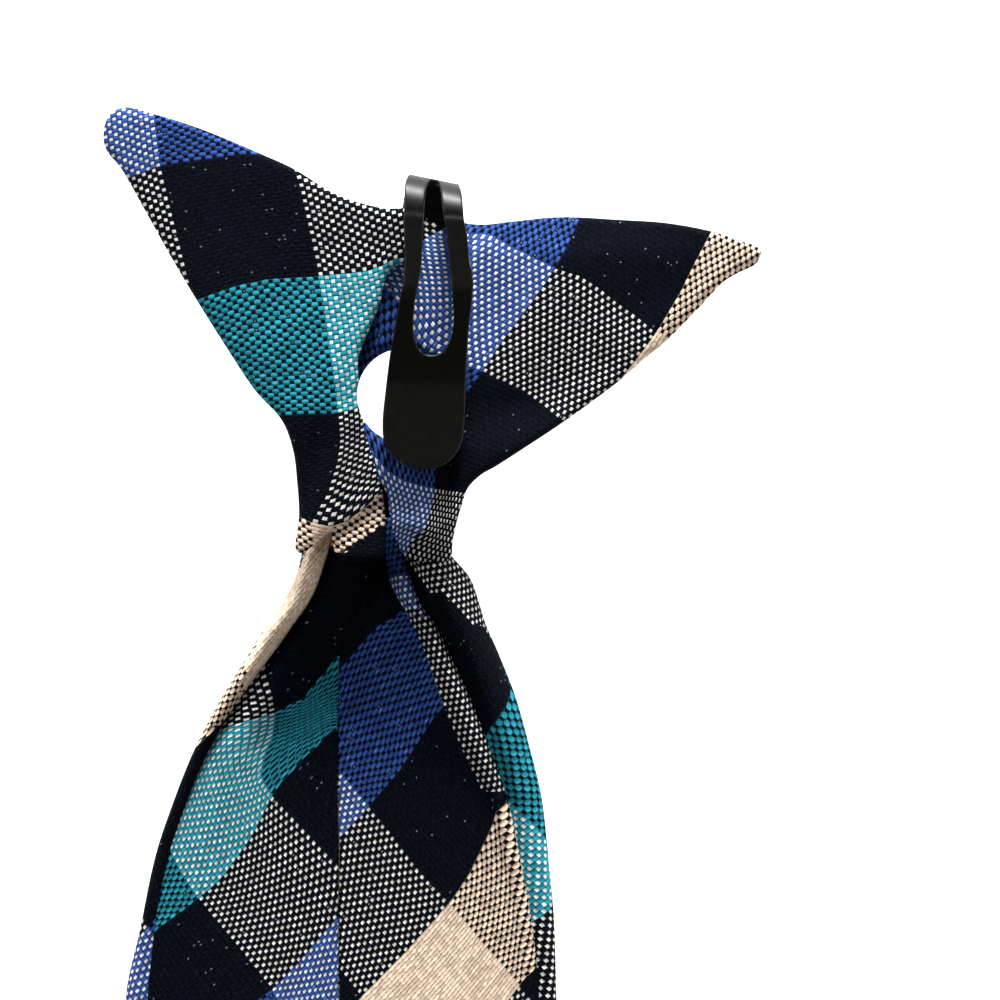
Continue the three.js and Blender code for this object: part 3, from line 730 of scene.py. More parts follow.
def steel_material(colours):
    material, shader, t = new_material(
        "Lacquered steel",
        {"Specular IOR Level": 0.2, "Coat Weight": 0.03, "Coat Roughness": 0.3})
    spot = t.node("ShaderNodeTexCoord").outputs["Object"]
    grain = t.noise(spot, GRAIN_SCALE, 4.0)
    tint = t.blend(t.noise(spot, CLOUD_SCALE), colours["lacquer_dark"], colours["lacquer"])
    edge = t.node("ShaderNodeNewGeometry").outputs["Pointiness"]
    # Sharp edges blend towards a pale colour: painted highlight on the clip's edges
    edge_highlight_mask = t.range(edge, *EDGE_HIGHLIGHT_SPAN, 0.0, EDGE_HIGHLIGHT_SHARE)
    t.link(t.blend(edge_highlight_mask, tint, colours["bare_steel"]), shader.inputs["Base Color"])
    t.link(t.range(grain, *GRAIN_SPAN, *LACQUER_ROUGHNESS), shader.inputs["Roughness"])
    t.bump(grain, GRAIN_STRENGTH, GRAIN_DEPTH, shader)
    return material


# Wings

def leg_blend(y):
    return smooth(1 - (y - KNOT_RISE) / (HOLE_RISE - KNOT_RISE))


def ridge(x, y, start, end, width, rise):
    """A soft fold along a line in photo pixels."""
    (ax, ay), (bx, by) = from_photo([start, end])
    run = np.array([bx - ax, by - ay])
    share = np.clip(((x - ax) * run[0] + (y - ay) * run[1]) / (run @ run), 0, 1)
    away = np.hypot(x - ax - share * run[0], y - ay - share * run[1]) / (width * PIXEL)
    return rise * np.exp(-away * away)


# Folds: start, end and width in photo pixels, and the rise in millimetres

LEFT_FOLDS = [
    ((372, 300), (300, 440), 22, 0.55),
    ((250, 330), (185, 205), 40, 0.5),
    ((330, 250), (260, 330), 16, -0.35),
    ((345, 430), (320, 520), 14, 0.45),
    ((352, 300), (345, 400), 9, -0.35),
    ((230, 180), (140, 130), 30, 0.4),
    ((362, 470), (352, 515), 9, -0.3),
]
RIGHT_FOLDS = [
    ((500, 380), (560, 300), 26, 0.55),
    ((480, 430), (600, 360), 18, -0.35),
    ((560, 262), (740, 248), 30, 0.5),
    ((415, 470), (424, 530), 13, 0.4),
    ((398, 470), (403, 515), 7, -0.3),
    ((448, 470), (450, 530), 7, -0.35),
    ((408, 533), (450, 552), 4, -0.55),
    ((414, 526), (452, 543), 6, 0.4),
    ((620, 350), (720, 275), 12, 0.3),
    ((395, 250), (380, 330), 14, 0.3),
]

# The small tab under the left leg's hem, and where the wings start to slope down

TAB_DROP = 0.9
TAB_TURN = -6.0
TAB_STEP = (0.2, 0.5)
FAR_BELOW = -9.0
LEFT_SLOPE_START = LEG_HALF * 0.6
CALM_REACH = 5.0
RIGHT_LEG_EDGE = 3.1
BRIDGE_TURN_AT = 0.86
LEG_END_DROP = 2.9
RIM_SPACING = 0.8


def under_hem(x, y):
    """How far a place lies below the left leg's hem, less than zero above it."""
    hem = from_photo(LEFT_HEM)
    hem = hem[np.argsort(hem[:, 0])]
    return np.where(x < hem[0, 0], FAR_BELOW, np.interp(x, hem[:, 0], hem[:, 1]) - y)


def left_top(x, y):
    out = smooth((-x - LEFT_SLOPE_START) / (LEFT_REACH - LEFT_SLOPE_START))
    top = mix(mix(LAP_TOP, LEG_TOP, leg_blend(y)), WING_TIP_TOP, out)
    top = top - TAB_DROP * smooth((under_hem(x, y) + TAB_STEP[0]) / TAB_STEP[1])
    calm = smooth(-(x + 1) / CALM_REACH)
    for fold in LEFT_FOLDS:
        top = top + ridge(x, y, *fold) * calm
    return top


def right_top(x, y):
    out = smooth((x - LEG_HALF) / (RIGHT_REACH - LEG_HALF))
    rise = leg_blend(y) * smooth(1 + x / RIGHT_LEG_EDGE)
    top = mix(mix(BRIDGE_TOP, LEG_TOP, rise), WING_TIP_TOP, out)
    turned = smooth((y / LOOP_RISE - BRIDGE_TURN_AT) / (1 - BRIDGE_TURN_AT))
    top = top - BRIDGE_ROLL * turned * (1 - out)
    for fold in RIGHT_FOLDS:
        top = top + ridge(x, y, *fold)
    return top - LEG_END_DROP * smooth((-y - KNOT_DROP * 0.1) / KNOT_DROP) * smooth((x - 0.5) / 2)


def hole_arc(first, last, count):
    """Points on the loop's hole, from one direction to another in degrees, y down."""
    turns = np.radians(np.linspace(first, last, count))
    return [
        (HOLE_CENTRE[0] + HOLE_RADIUS * math.cos(a), HOLE_CENTRE[1] + HOLE_RADIUS * math.sin(a))
        for a in turns
    ]


def rounded(away, radius):
    """Share of the full thickness near a rounded edge."""
    return np.sqrt(np.clip(1 - (1 - np.clip(away / radius, 0, 1)) ** 2, 0, 1))


def cloth_shell(name, outline, top_of, chart, spacing, patch=None):
    """A sheet with a rounded edge. patch is a seam, a test of place and the chart beyond it."""
    loop = resample(outline, spacing * RIM_SPACING, True)
    radius = CLOTH / 2
    verts, tris, away = plate(loop, [], spacing, radius, [patch[0]] if patch else [])
    x, y = verts.T
    top = top_of(x, y)
    bulge = rounded(away, radius)
    sides = [np.stack([x, y, top - radius + sign * bulge * radius], 1) for sign in (1, -1)]
    count = len(verts)
    under = np.where(away < ON_EDGE, np.arange(count), count + np.arange(count))
    points = np.concatenate(sides)
    up, down = both_turns(verts, tris)
    faces = np.concatenate([up, under[down]])
    corners = np.tile(chart(x, y), (2, 1))[faces]
    if patch:
        middle = points[faces].mean(1)
        beyond = patch[1](middle[:, 0], middle[:, 1])
        other = np.tile(patch[2](x, y), (2, 1))[faces]
        other = reseat(straight_yarns(points[faces], TAB_TURN), other)
        corners = np.where(beyond[:, None, None], other, corners)
    return make_object(name, *only_used(points, faces), corners)


# Loft of sections that keep one thickness

def wall_points(line, thickness):
    """The two faces of a wall along its middle line."""
    ahead = np.gradient(line, axis=0)
    normal = np.stack([-ahead[:, 1], ahead[:, 0]], 1)
    normal /= np.linalg.norm(normal, axis=1)[:, None] + TINY
    return line + normal * thickness / 2, line - normal * thickness / 2


def run_outside(lines, thickness):
    """Distance along each section's visible side."""
    return np.array([run_along(wall_points(line, thickness)[1]) for line in lines])


def loft_wall(name, lines, ys, wall, chart, slant=None):
    """lines holds x, z points per section. chart gives a plaid pair for each point and stretch."""
    count = lines.shape[1]
    points = []
    for line, y in zip(lines, ys):
        outer, inner = (np.maximum(side, (-np.inf, 0)) for side in wall_points(line, wall))
        ring = np.concatenate([outer, inner[::-1]])
        level = slant(y, ring[:, 1]) if slant else np.full(len(ring), y)
        points.append(np.stack([ring[:, 0], level, ring[:, 1]], 1))
    around = 2 * count
    faces = []
    keys = []
    for row in range(len(ys) - 1):
        for k in range(around):
            nxt = (k + 1) % around
            faces.append((row * around + k, row * around + nxt, (row + 1) * around + nxt,
                          (row + 1) * around + k))
            here, then = (min(at, around - 1 - at) for at in (k, nxt))
            stretch = min(here, then)
            keys += [(row, here, stretch), (row, then, stretch), (row + 1, then, stretch),
                     (row + 1, here, stretch)]
    for row, order in ((0, -1), (len(ys) - 1, 1)):
        for k in range(count - 1):
            ring = (k, k + 1, around - 2 - k, around - 1 - k)[::order]
            faces.append(tuple(row * around + v for v in ring))
            keys += [(row, p, k) for p in (k, k + 1, k + 1, k)[::order]]
    return make_object(name, np.concatenate(points), faces, chart(*np.array(keys).T))


# Blade

STEPS = 12
FLAT_Y = -BLADE_LENGTH + BLADE_HALF
POINT_BLUNT = 1.2
NEAR_END = -68.0
WIDEST_SHARES = {"edge_l": -1.0, "crease_l": -0.93, "bulge_l": -0.65, "strip": 0.88,
                 "crease_r": 0.93, "edge_r": 1.0}
SEAM_HALF_GAP = 0.1
FLAP_ROOM = 0.05
EDGE_TUCK = 1.2
EDGE_RISE = 0.55
ROLL_TOP_LEFT = 0.5
ROLL_TOP_RIGHT = 0.45


def blade_sections():
    """The y of each section, and the wall's middle line through it."""
    near = np.arange(-1.0, NEAR_END, -1.1)
    far = np.linspace(NEAR_END, FLAT_Y, 40)
    point = FLAT_Y - np.linspace(0, 1, 26)[1:] * (BLADE_HALF - POINT_BLUNT)
    ys = np.concatenate([near, far, point])
    reach = BLADE_HALF / PIXEL
    widest = dict(zip(BLADE_COLUMNS, BLADE_ROWS[-1]))
    widest["y"] = THROAT[1] - FLAT_Y / PIXEL
    for column, share in WIDEST_SHARES.items():
        widest[column] = widest["seam"] + share * reach
    rows = [*BLADE_ROWS, tuple(widest.values())]
    table = smooth_columns(rows, np.minimum(THROAT[1] - ys / PIXEL, widest["y"]))
    taper = np.clip((ys + BLADE_LENGTH) / BLADE_HALF, 0, 1)
    lines = [
        spline(section_points(dict(zip(BLADE_COLUMNS, row)), share), STEPS)
        for row, share in zip(table, taper)
    ]
    return ys, np.array(lines)


def section_points(at, share):
    """Places across and heights of one section's turning points."""
    half = BLADE_WALL / 2
    middle = at["seam"]

    def spot(pixel):
        return ((middle + (pixel - middle) * share) - THROAT[0]) * PIXEL

    low = half + at["lift"]
    least = at["lift"] + 2 * BLADE_WALL + FLAP_ROOM
    floor, low_l, low_r = (max(at[key], least) - half for key in ("floor", "low_l", "low_r"))
    left, right, seam = spot(at["edge_l"]), spot(at["edge_r"]), spot(middle)
    tuck = EDGE_TUCK * share
    return [
        (seam - SEAM_HALF_GAP, floor),
        (spot(at["dip_l"]), low_l),
        (spot(at["bulge_l"]), at["wave_l"] - half),
        (spot(at["crease_l"]), at["fold_l"] - half),
        (spot(mix(at["crease_l"], at["edge_l"], ROLL_TOP_LEFT)), at["roll_l"] - half),
        (left + half, mix(low, at["roll_l"] - half, EDGE_RISE)),
        (left + half + tuck, low),
        (seam, low),
        (right - half - tuck, low),
        (right - half, mix(low, at["roll_r"] - half, EDGE_RISE)),
        (spot(mix(at["crease_r"], at["edge_r"], ROLL_TOP_RIGHT)), at["roll_r"] - half),
        (spot(at["crease_r"]), at["fold_r"] - half),
        (spot(at["strip"]), at["wave_r"] - half),
        (spot(at["strip_in"]), at["rim_r"] - half),
        (spot(at["dip_r"]), low_r),
        (seam + SEAM_HALF_GAP, floor),
    ]


# Stretches of a section: the left flap ends at the first, the front panel at the second and the
# narrow ribbon beside the right crease at the third.

PANEL_FROM = 3 * STEPS
PANEL_TO = 11 * STEPS
RIBBON_TO = 13 * STEPS
ROLL_STRETCHES = 3 * STEPS
TOP_POINTS = (4 * STEPS, 10 * STEPS, 12 * STEPS)

# Stripes of the panel and the ribbon in photo pixels: where a stripe line lies and the width of
# a stripe. The rest are turns, in stripes, over the way around the panel.

PANEL_STRIPE = 187.0
CREAM_END_Y = 738
CREAM_STRIPE = 245
PAIR_Y = 700
PAIR_STRIPE = 210
COLOUR_TURN = 3.0
COLOUR_TURN_RIGHT = 1.5
PAIR_TURN = 2.52
LEFT_SIDE_TO = 0.3
LEFT_SIDE_SPAN = 0.2
RIGHT_SIDE_FROM = 0.5
RIGHT_SIDE_SPAN = 0.4
HIGH_RIGHT_FROM = 0.6
HIGH_RIGHT_SPAN = 0.2
LEFT_PUSH = ((620, 735, 920), (0.3, 0.1, 0.03))
LEFT_PAIR_PUSH = 0.13
LEFT_PAIR_SPAN = (650, 270)
RIGHT_PAIR_PUSH = 0.19
RIGHT_PAIR_SPAN = (715, 60)
RIBBON_Y = 612
RIBBON_STRIPE = 194
RIBBON_LEAN = 400
RIBBON_PAIR = 4.4
RIBBON_PAIR_Y = 586
RIBBON_PAIR_STRIPE = 30
RIBBON_PAIR_LEAST = -0.9
RIBBON_END_Y = 790
LEFT_ROLL_END_Y = 720
RIGHT_ROLL_END_Y = 680
# Navy on navy for the wall's edges along the seam: painted shade that makes the seam between the
# flaps a dark line
SEAM_SHADE_STRIPES = (1.5, 1.5)


def blade_chart(ys, lines):
    """Plaid pairs on the blade: the flaps follow their charts, the front panel runs straight."""
    count = lines.shape[1]
    run = run_outside(lines, BLADE_WALL)
    start = run[:, PANEL_FROM, None]
    around = (run - start) / (run[:, PANEL_TO, None] - start)
    wanted = np.repeat(ys, count)
    held = np.maximum(wanted, (THROAT[1] - PHOTO_EDGE) * PIXEL)
    beyond = ((held - wanted) / PIXEL / PANEL_STRIPE)[:, None]
    left, right = (
        (plaid_of(*pair)(lines[:, :, 0].ravel(), held) - beyond).reshape(len(ys), count, 2)
        for pair in ((FLAP_LEFT_COLOUR_LINES, FLAP_LEFT_PAIR_LINES),
                     (FLAP_RIGHT_COLOUR_LINES, FLAP_RIGHT_PAIR_LINES))
    )
    photo_x = lines[:, :, 0] / PIXEL + THROAT[0]
    photo_y = (THROAT[1] - ys / PIXEL)[:, None]
    below = photo_y - CREAM_END_Y
    right_side = (1 - around) * smooth((around - RIGHT_SIDE_FROM) / RIGHT_SIDE_SPAN)
    left_side = (1 - around) * smooth((LEFT_SIDE_TO - around) / LEFT_SIDE_SPAN)
    lower = np.clip((photo_y - LEFT_PAIR_SPAN[0]) / LEFT_PAIR_SPAN[1], 0, 1)
    high_right = (RIGHT_PAIR_PUSH * smooth((around - HIGH_RIGHT_FROM) / HIGH_RIGHT_SPAN)
                  * smooth((RIGHT_PAIR_SPAN[0] - photo_y) / RIGHT_PAIR_SPAN[1]))
    panel = np.stack([
        SETT.index(CREAM) + 1 + below / np.where(below < 0, CREAM_STRIPE, PANEL_STRIPE)
        - COLOUR_TURN * around - COLOUR_TURN_RIGHT * right_side
        + np.interp(photo_y, *LEFT_PUSH) * left_side,
        1 + (photo_y - PAIR_Y) / PAIR_STRIPE + PAIR_TURN * around
        - LEFT_PAIR_PUSH * lower * left_side + high_right,
    ], 2)
    ribbon_pair = RIBBON_PAIR + np.clip(
        (photo_y - RIBBON_PAIR_Y) / RIBBON_PAIR_STRIPE, RIBBON_PAIR_LEAST, 0)
    ribbon = np.stack([
        -(photo_y - RIBBON_Y) / RIBBON_STRIPE
        - (photo_x - photo_x[:, RIBBON_TO, None]) / RIBBON_LEAN,
        np.broadcast_to(ribbon_pair, photo_x.shape),
    ], 2)

    seen = np.array([wall_points(line, BLADE_WALL)[1][:, 0] for line in lines])
    point = np.arange(count)
    top = np.where(point < 7 * STEPS, TOP_POINTS[0],
                   np.where(point < PANEL_TO, TOP_POINTS[1], TOP_POINTS[2]))
    across = seen[:, top] - (run - run[:, top])
    level = ys[:, None]
    yarns = np.stack([across - level, -across - level], 2) / (math.sqrt(2) * STRIPE)

    def chart(row, point, stretch):
        low = (photo_y[row, 0] > RIBBON_END_Y) & (stretch >= PANEL_TO)
        pick = np.select(
            [low[:, None], (stretch < PANEL_FROM)[:, None], (stretch < PANEL_TO)[:, None],
             (stretch < RIBBON_TO)[:, None]],
            [right[row, point], left[row, point], panel[row, point], ribbon[row, point]],
            right[row, point]).reshape(-1, 4, 2)
        true_size = reseat(yarns[row, point].reshape(-1, 4, 2), pick)
        where = photo_y[row, 0].reshape(-1, 4).min(1)
        stretch = stretch.reshape(-1, 4)[:, 0]
        rolled = np.zeros(len(where), bool)
        for first, last, end_y in (
            (PANEL_FROM, PANEL_FROM + ROLL_STRETCHES, LEFT_ROLL_END_Y),
            (PANEL_TO - ROLL_STRETCHES, PANEL_TO, RIGHT_ROLL_END_Y),
            (PANEL_TO, RIBBON_TO, RIBBON_END_Y),
        ):
            rolled |= (stretch >= first) & (stretch < last) & (where < end_y)
        pick = np.where(rolled[:, None, None], true_size, pick)
        point = point.reshape(-1, 4)
        cut_edge = point[:, 0] == point[:, 1]
        # The wall's edges along the seam take navy on navy, painted shade for the dark seam line
        return np.where(cut_edge[:, None, None], SEAM_SHADE_STRIPES, pick)

    return chart


# Knot. The profile holds shares of the half width and of the height, from back to front.

KNOT_PULL = 0.8
KNOT_BELLY = 0.3
KNOT_SINK = 1.8
KNOT_FLAT = 0.66
KNOT_SAG = 0.15
KNOT_PROFILE = [(0.92, 0.86), (1.0, 0.5), (0.94, 0.14), (0.78, 0.0)]
KNOT_HEM_RISE = 4.6
KNOT_STRIPES = (3.4, 1.5)


def knot_lines():
    ys = np.linspace(KNOT_RISE, -KNOT_DROP, 30)
    lines = []
    for y in ys:
        share = (KNOT_RISE - y) / (KNOT_RISE + KNOT_DROP)
        belly = KNOT_BELLY * math.sin(math.pi * share)
        half = mix(KNOT_TOP_HALF, KNOT_HALF, share) - KNOT_PULL + belly
        low = KNOT_WALL / 2
        high = KNOT_THICK - KNOT_WALL / 2 - KNOT_SINK * share * share
        side = half - KNOT_WALL / 2
        left = [(-KNOT_SLIT / 2, high), (-side * KNOT_FLAT, high - KNOT_SAG)]
        left += [(-side * out, mix(low, high, up)) for out, up in KNOT_PROFILE]
        right = [(-x, z) for x, z in left][::-1]
        line = spline(np.array([*left, (0, low), *right]) + (KNOT_X, 0), 10)
        line[:, 1] = np.maximum(line[:, 1], low)
        lines.append(line)
    return ys, np.array(lines)


def knot_slant(y, z):
    """The knot's hem rises towards the back, where the folded blade comes out of it."""
    share = np.clip((KNOT_RISE - y) / (KNOT_RISE + KNOT_DROP), 0, 1)
    return y + KNOT_HEM_RISE * smooth(z / (KNOT_THICK * 0.8)) * share


def knot_chart(ys, lines):
    """Straight yarns around the knot, with stripes half as wide again."""
    run = run_outside(lines, KNOT_WALL)
    run -= run[:, -1:] / 2
    along = ys[:, None]
    stripe = PANEL_STRIPE * PIXEL
    yarns = np.stack([KNOT_STRIPES[0] + (run - along) / stripe,
                      KNOT_STRIPES[1] - (run + along) / stripe], 2)
    stripes = yarns + np.stack([run, -run], 2) * 0.5 / stripe

    def chart(row, point, stretch):
        return reseat(yarns[row, point].reshape(-1, 4, 2), stripes[row, point].reshape(-1, 4, 2))

    return chart


# Clip: the share of its length down from the bend, then the left and right edge in half widths

CLIP_EDGE = [
    (0.000, -0.60, 0.62), (0.045, -0.66, 0.70), (0.144, -0.66, 0.78), (0.180, -0.65, 0.84),
    (0.255, -0.62, 0.92), (0.360, -0.62, 1.04), (0.410, -0.68, 1.04), (0.470, -0.74, 1.00),
    (0.540, -0.81, 0.97), (0.600, -0.87, 0.96), (0.670, -0.92, 0.95), (0.740, -0.96, 0.95),
    (0.840, -1.00, 0.94), (0.900, -0.96, 0.90), (0.940, -0.83, 0.78), (0.970, -0.64, 0.60),
    (0.990, -0.38, 0.36), (1.000, -0.10, 0.08),
]
CLIP_SLOT = [
    (0.012, -0.04, 0.08), (0.035, -0.14, 0.18), (0.090, -0.18, 0.24), (0.165, -0.19, 0.33),
    (0.320, -0.21, 0.49), (0.410, -0.30, 0.56), (0.470, -0.34, 0.60), (0.520, -0.34, 0.59),
    (0.560, -0.28, 0.52), (0.590, -0.18, 0.40), (0.605, -0.04, 0.24),
]
CLIP_REAR = [
    (0.955, -0.55, 0.25), (0.860, -0.60, 0.30), (0.620, -0.74, 0.60), (0.400, -0.84, 0.80),
    (0.240, -0.84, 0.78),
]

# Down from the bend, and how far the rear leg stands off from the knot towards the bridge

REAR_STAND = [(-0.955, 0), (-0.86, 0.12), (-0.62, 0.52), (-0.40, 0.84), (-0.24, 0.97)]
REAR_SEAT_ROOM = 0.1
LEG_CURVE = 1.6
RAMP_SOFTNESS = 0.3
TONGUE_CURVE = 1.3
EDGE_RADIUS = 0.22
EDGE_SPACING = 0.3
SLOT_SPACING = 0.25
FACE_SPACING = 0.4


def front_leg_height(down):
    nip = FRONT_LEG_Z - CLIP_NIP
    start = FRONT_LEG_Z - LEG_RISE
    leg = mix(start, FRONT_LEG_Z, np.clip(down / LEG_BEND_AT, 0, 1) ** LEG_CURVE)
    share = np.clip((down - LEG_BEND_AT) / (NIP_AT - LEG_BEND_AT), 0, 1)
    ramp = mix(leg, nip, mix(share, smooth(share), RAMP_SOFTNESS))
    past = np.maximum(down - NIP_AT, 0) / (1 - NIP_AT)
    return np.where(down < NIP_AT, ramp, nip + TONGUE_LIFT * past ** TONGUE_CURVE)


def clip_path():
    """The strip's middle line from the end of the rear leg to the end of the tongue."""
    bend = (CLIP_SPREAD - LEG_RISE) / 2
    middle = REAR_LEG_Z + bend
    bend_y = -bend - CLIP_STEEL / 2
    seat = KNOT_WALL + GAP + CLIP_STEEL / 2 + REAR_SEAT_ROOM
    downs = np.linspace(CLIP_REAR[0][0], CLIP_REAR[-1][0], 40)
    shares = np.interp(-downs, *zip(*REAR_STAND))
    rear = [(-d * CLIP_LENGTH, mix(seat, REAR_LEG_Z, s)) for d, s in zip(downs, shares)]
    turns = np.radians(np.linspace(-90, 90, 40))
    arc = [(bend_y + bend * math.cos(a), middle + bend * math.sin(a)) for a in turns]
    fronts = np.linspace(-bend_y / CLIP_LENGTH, 1.0, 160)[1:]
    front = [(-d * CLIP_LENGTH, float(front_leg_height(d))) for d in fronts]
    path = np.array([*rear, *arc, *front])
    run = run_along(path)
    return path, run, run[len(rear) + len(arc) // 2]


def clip_mesh():
    path, run, turn = clip_path()
    front = run >= turn
    rear = run <= turn

    def on_front(down):
        return float(np.interp(down * CLIP_LENGTH, -path[front, 0], run[front]))

    def on_rear(down):
        return float(np.interp(-down * CLIP_LENGTH, path[rear, 0], run[rear]))

    def edge(side, rows, place):
        return [(row[side] * CLIP_HALF, place(row[0])) for row in rows]

    left, right = (
        edge(side, CLIP_REAR, on_rear) + edge(side, CLIP_EDGE, on_front) for side in (1, 2))
    slot = edge(1, CLIP_SLOT, on_front) + edge(2, CLIP_SLOT, on_front)[::-1]
    outline = resample(spline(right + left[::-1], 8, True), EDGE_SPACING, True)
    hole = resample(spline(slot, 8, True), SLOT_SPACING, True)
    verts, tris, away = plate(outline, [hole], FACE_SPACING, EDGE_RADIUS)
    x, s = verts.T
    y, z = (np.interp(s, run, path[:, k]) for k in (0, 1))
    ahead = np.gradient(path, run, axis=0)
    ny = np.interp(s, run, -ahead[:, 1])
    nz = np.interp(s, run, ahead[:, 0])
    size = np.hypot(ny, nz)
    bulge = CLIP_STEEL / 2 - EDGE_RADIUS * (1 - rounded(away, EDGE_RADIUS))
    skew = smooth(1 + y / (CLIP_SPREAD * SKEW_REACH)) * CLIP_SKEW * x
    points = np.concatenate([
        np.stack([x, y - skew + sign * (ny / size) * bulge, z + sign * (nz / size) * bulge], 1)
        for sign in (1, -1)
    ])
    count = len(verts)
    down, up = both_turns(verts, tris)
    faces = [tuple(f) for f in np.concatenate([up, count + down])]
    edges = dict.fromkeys((p, q) for face in up for p, q in zip(face, np.roll(face, -1)))
    faces += [(q, p, count + p, count + q) for p, q in edges if (q, p) not in edges]
    tilt = math.radians(-CLIP_TILT)
    turned = np.stack([
        CLIP_X + points[:, 0] * math.cos(tilt) - points[:, 1] * math.sin(tilt),
        LOOP_RISE + CLIP_OVERHANG + points[:, 0] * math.sin(tilt) + points[:, 1] * math.cos(tilt),
        points[:, 2],
    ], 1)
    return make_object("spring_clip", turned, faces)


# Add-on classes

class TieSizes(bpy.types.PropertyGroup):
    grain: bpy.props.FloatProperty(
        name="Cloth grain", description="Spacing of the wings' points in millimetres",
        default=0.5, min=0.2)
    bump: bpy.props.FloatProperty(
        name="Weave depth", description="Strength of the weave's relief", subtype="FACTOR",
        default=0.9, min=0, max=1)


def colour_setting(name, description, *rgb):
    return bpy.props.FloatVectorProperty(
        name=name, description=description, subtype="COLOR", size=4, default=(*rgb, 1),
        min=0, max=1)


class TieColours(bpy.types.PropertyGroup):
    blue: colour_setting("Blue", "Colour of the blue yarn", 0.026, 0.070, 0.27)
    navy: colour_setting("Navy", "Colour of the navy yarn", 0.0014, 0.0024, 0.0064)
    teal: colour_setting("Teal", "Colour of the teal yarn", 0.018, 0.25, 0.33)
    cream: colour_setting("Cream", "Colour of the cream yarn", 0.86, 0.655, 0.485)
    white: colour_setting("White", "Colour of the white yarn", 0.86, 0.84, 0.78)
    lacquer: colour_setting("Lacquer", "Colour of the clip's lacquer", 0.0018, 0.0017, 0.0010)
    lacquer_dark: colour_setting("Dark lacquer", "Clouds in the lacquer", 0.0009, 0.0009, 0.0005)
    # Colour of the painted highlight on the clip's sharp edges
    bare_steel: colour_setting("Edge highlight", "Painted highlight on the clip's sharp edges", 0.22, 0.2, 0.17)


class TieLights(bpy.types.PropertyGroup):
    key: bpy.props.FloatProperty(
        name="Lamps", description="Power that each lamp has its own multiple of", unit="POWER",
        default=7.2, min=0)
    fill: bpy.props.FloatProperty(
        name="Fill", description="Brightness of the surroundings", default=0.42, min=0)
    glow: bpy.props.FloatProperty(
        name="Table glow", description="Light of the white table itself", default=0.85, min=0)


def colours_of(context):
    group = context.scene.tie_colours
    return {name: tuple(getattr(group, name)) for name in TieColours.__annotations__}


def finish_cloth(context, obj, node):
    material = bpy.data.materials.get("Plaid cloth")
    if not material:
        group = plaid_group(colours_of(context))
        material = cloth_material("Plaid cloth", group, context.scene.tie_sizes.bump)
    obj.data.materials.append(material)
    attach(obj, "root")
    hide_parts(node)


class TIE_OT_wings(bpy.types.Operator):
    """Adds the two pointed wings with their legs"""

    bl_idname = "tie.wings"
    bl_label = "Wings"

    def execute(self, context):
        grain = context.scene.tie_sizes.grain
        outline = spline(from_photo([*LEFT_WING, *hole_arc(150, 196, 8), *LEFT_WING_TOP]), 6, True)
        chart = plaid_of(LEFT_COLOUR_LINES, LEFT_PAIR_LINES)
        hem = resample(spline(from_photo(LEFT_HEM), 6), grain * 0.6)[1:-1]
        tab = plaid_of(FLAP_LEFT_COLOUR_LINES, FLAP_LEFT_PAIR_LINES)
        patch = (hem, lambda x, y: under_hem(x, y) > 0, tab)
        left = cloth_shell("wing_left_cloth", outline, left_top, chart, grain, patch)
        finish_cloth(context, left, "wing_left")
        outline = spline(from_photo([*RIGHT_WING, *hole_arc(160, 505, 40)]), 6, True)
        chart = plaid_of(RIGHT_COLOUR_LINES, RIGHT_PAIR_LINES)
        right = cloth_shell("wing_right_cloth", outline, right_top, chart, grain)
        finish_cloth(context, right, "wing_right")
        return {"FINISHED"}


class TIE_OT_knot(bpy.types.Operator):
    """Adds the short knot under the legs"""

    bl_idname = "tie.knot"
    bl_label = "Knot"

    def execute(self, context):
        ys, lines = knot_lines()
        obj = loft_wall("knot_cloth", lines, ys, KNOT_WALL, knot_chart(ys, lines), knot_slant)
        finish_cloth(context, obj, "knot")
        return {"FINISHED"}


class TIE_OT_blade(bpy.types.Operator):
    """Adds the long folded blade"""

    bl_idname = "tie.blade"
    bl_label = "Blade"

    def execute(self, context):
        ys, lines = blade_sections()
        obj = loft_wall("blade_cloth", lines, ys, BLADE_WALL, blade_chart(ys, lines))
        finish_cloth(context, obj, "blade")
        return {"FINISHED"}


class TIE_OT_clip(bpy.types.Operator):
    """Adds the lacquered steel clip over the bridge"""

    bl_idname = "tie.clip"
    bl_label = "Clip"

    def execute(self, context):
        obj = clip_mesh()
        obj.data.materials.append(steel_material(colours_of(context)))
        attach(obj, "root")
        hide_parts("clip")
        return {"FINISHED"}


# Stage, in metres. Each lamp: its place from the middle of the view, its size and its multiple
# of the lamps' power.

CAMERA_HEIGHT = 0.8
FOCUS_HEIGHT = 0.008
SENSOR = 36.0
FRAME_PIXELS = 1000
FLOOR_REACH = 6.0
FLOOR_DROP = 0.0002
LAMPS = (
    ("key", -0.6, 0.45, 0.6, 0.5, 0.5),
    ("side", 0.8, -0.1, 0.55, 0.5, 0.3),
    ("head", 0.05, 0.97, 0.33, 0.3, 4.1),
)
SKY_BAND = (0.3, 0.85)
SKY_TOP = 0.1


def add_to_scene(context, name, data, place=(0, 0, 0)):
    obj = bpy.data.objects.new(name, data)
    obj.location = place
    context.scene.collection.objects.link(obj)
    return obj


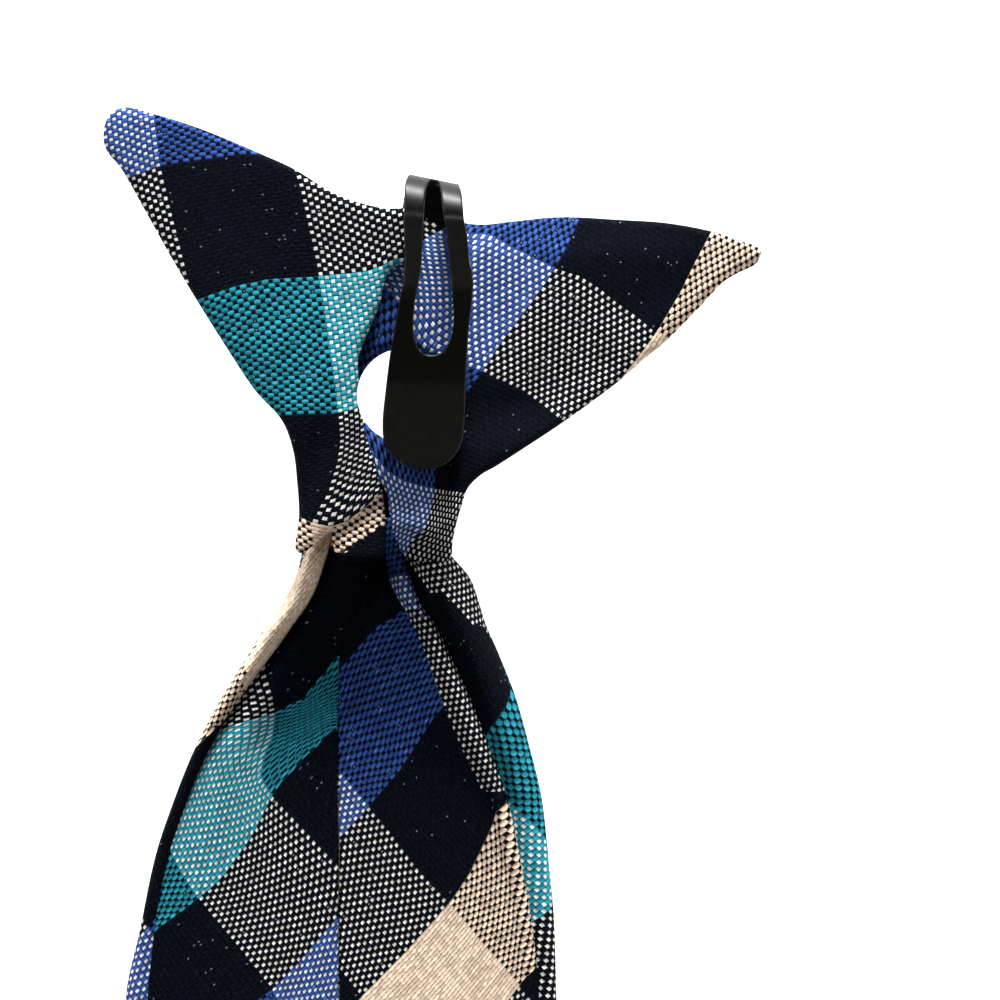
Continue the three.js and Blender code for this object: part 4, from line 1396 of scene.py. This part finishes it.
class TIE_OT_stage(bpy.types.Operator):
    """Adds the floor, the camera and the soft studio light"""

    bl_idname = "tie.stage"
    bl_label = "Stage"

    def execute(self, context):
        scene = context.scene
        lights = scene.tie_lights
        floor = bpy.data.meshes.new("floor")
        corners = [(x * FLOOR_REACH, y * FLOOR_REACH, -FLOOR_DROP)
                   for x, y in ((-1, -1), (1, -1), (1, 1), (-1, 1))]
        floor.from_pydata(corners, [], [(0, 1, 2, 3)])
        paper, _, _ = new_material("Pale floor", {
            "Base Color": (0.9, 0.9, 0.9, 1), "Roughness": 0.9,
            "Emission Color": (1, 1, 1, 1), "Emission Strength": lights.glow})
        floor.materials.append(paper)
        add_to_scene(context, "floor", floor)

        middle = FRAME_PIXELS / 2
        x = ((middle - THROAT[0]) * PIXEL + ORIGIN_X) * MM
        y = ((THROAT[1] - middle) * PIXEL + ORIGIN_Y) * MM
        camera = bpy.data.cameras.new("camera")
        camera.sensor_width = SENSOR
        camera.lens = SENSOR * (CAMERA_HEIGHT - FOCUS_HEIGHT) / (FRAME_PIXELS * PIXEL * MM)
        camera.clip_start = 0.01
        scene.camera = add_to_scene(context, "camera", camera, (x, y, CAMERA_HEIGHT))

        for name, right, up, high, size, share in LAMPS:
            lamp = bpy.data.lights.new(name, "AREA")
            lamp.shape = "DISK"
            lamp.size = size
            lamp.energy = lights.key * share
            holder = add_to_scene(context, name, lamp, (x + right, y + up, high))
            aim = np.array((x, y, 0)) - (x + right, y + up, high)
            holder.rotation_euler = Vector(aim).to_track_quat("-Z", "Y").to_euler()

        world = bpy.data.worlds.new("studio")
        world.use_nodes = True
        t = Tree(world.node_tree)
        sky = world.node_tree.nodes["Background"].inputs
        way = t.node("ShaderNodeTexCoord")
        parts = t.node("ShaderNodeSeparateXYZ")
        t.link(way.outputs["Generated"], parts.inputs[0])
        sky["Color"].default_value = (1, 1, 1, 1)
        t.link(t.range(parts.outputs[2], *SKY_BAND, lights.fill, lights.fill * SKY_TOP),
               sky["Strength"])
        scene.world = world
        scene.view_settings.view_transform = "Standard"
        return {"FINISHED"}


class TIE_PT_panel(bpy.types.Panel):
    """Lists the tie's pieces and settings"""

    bl_label = "Clip-on tie"
    bl_idname = "TIE_PT_panel"
    bl_space_type = "VIEW_3D"
    bl_region_type = "UI"
    bl_category = "Tie"

    def draw(self, context):
        column = self.layout.column()
        for operator in OPERATORS:
            column.operator(operator.bl_idname)
        for name, kind in SETTINGS.items():
            for key in kind.__annotations__:
                column.prop(getattr(context.scene, name), key)


OPERATORS = (TIE_OT_stage, TIE_OT_wings, TIE_OT_knot, TIE_OT_blade, TIE_OT_clip)
SETTINGS = {"tie_sizes": TieSizes, "tie_colours": TieColours, "tie_lights": TieLights}
CLASSES = (*SETTINGS.values(), *OPERATORS, TIE_PT_panel)


def register():
    for kind in CLASSES:
        bpy.utils.register_class(kind)
    for name, kind in SETTINGS.items():
        setattr(bpy.types.Scene, name, bpy.props.PointerProperty(type=kind))


def unregister():
    for name in SETTINGS:
        delattr(bpy.types.Scene, name)
    for kind in reversed(CLASSES):
        bpy.utils.unregister_class(kind)


def main():
    register()
    bpy.ops.tie.stage()
    bpy.ops.tie.wings()
    bpy.ops.tie.knot()
    bpy.ops.tie.blade()
    bpy.ops.tie.clip()


if __name__ == "__main__":
    main()
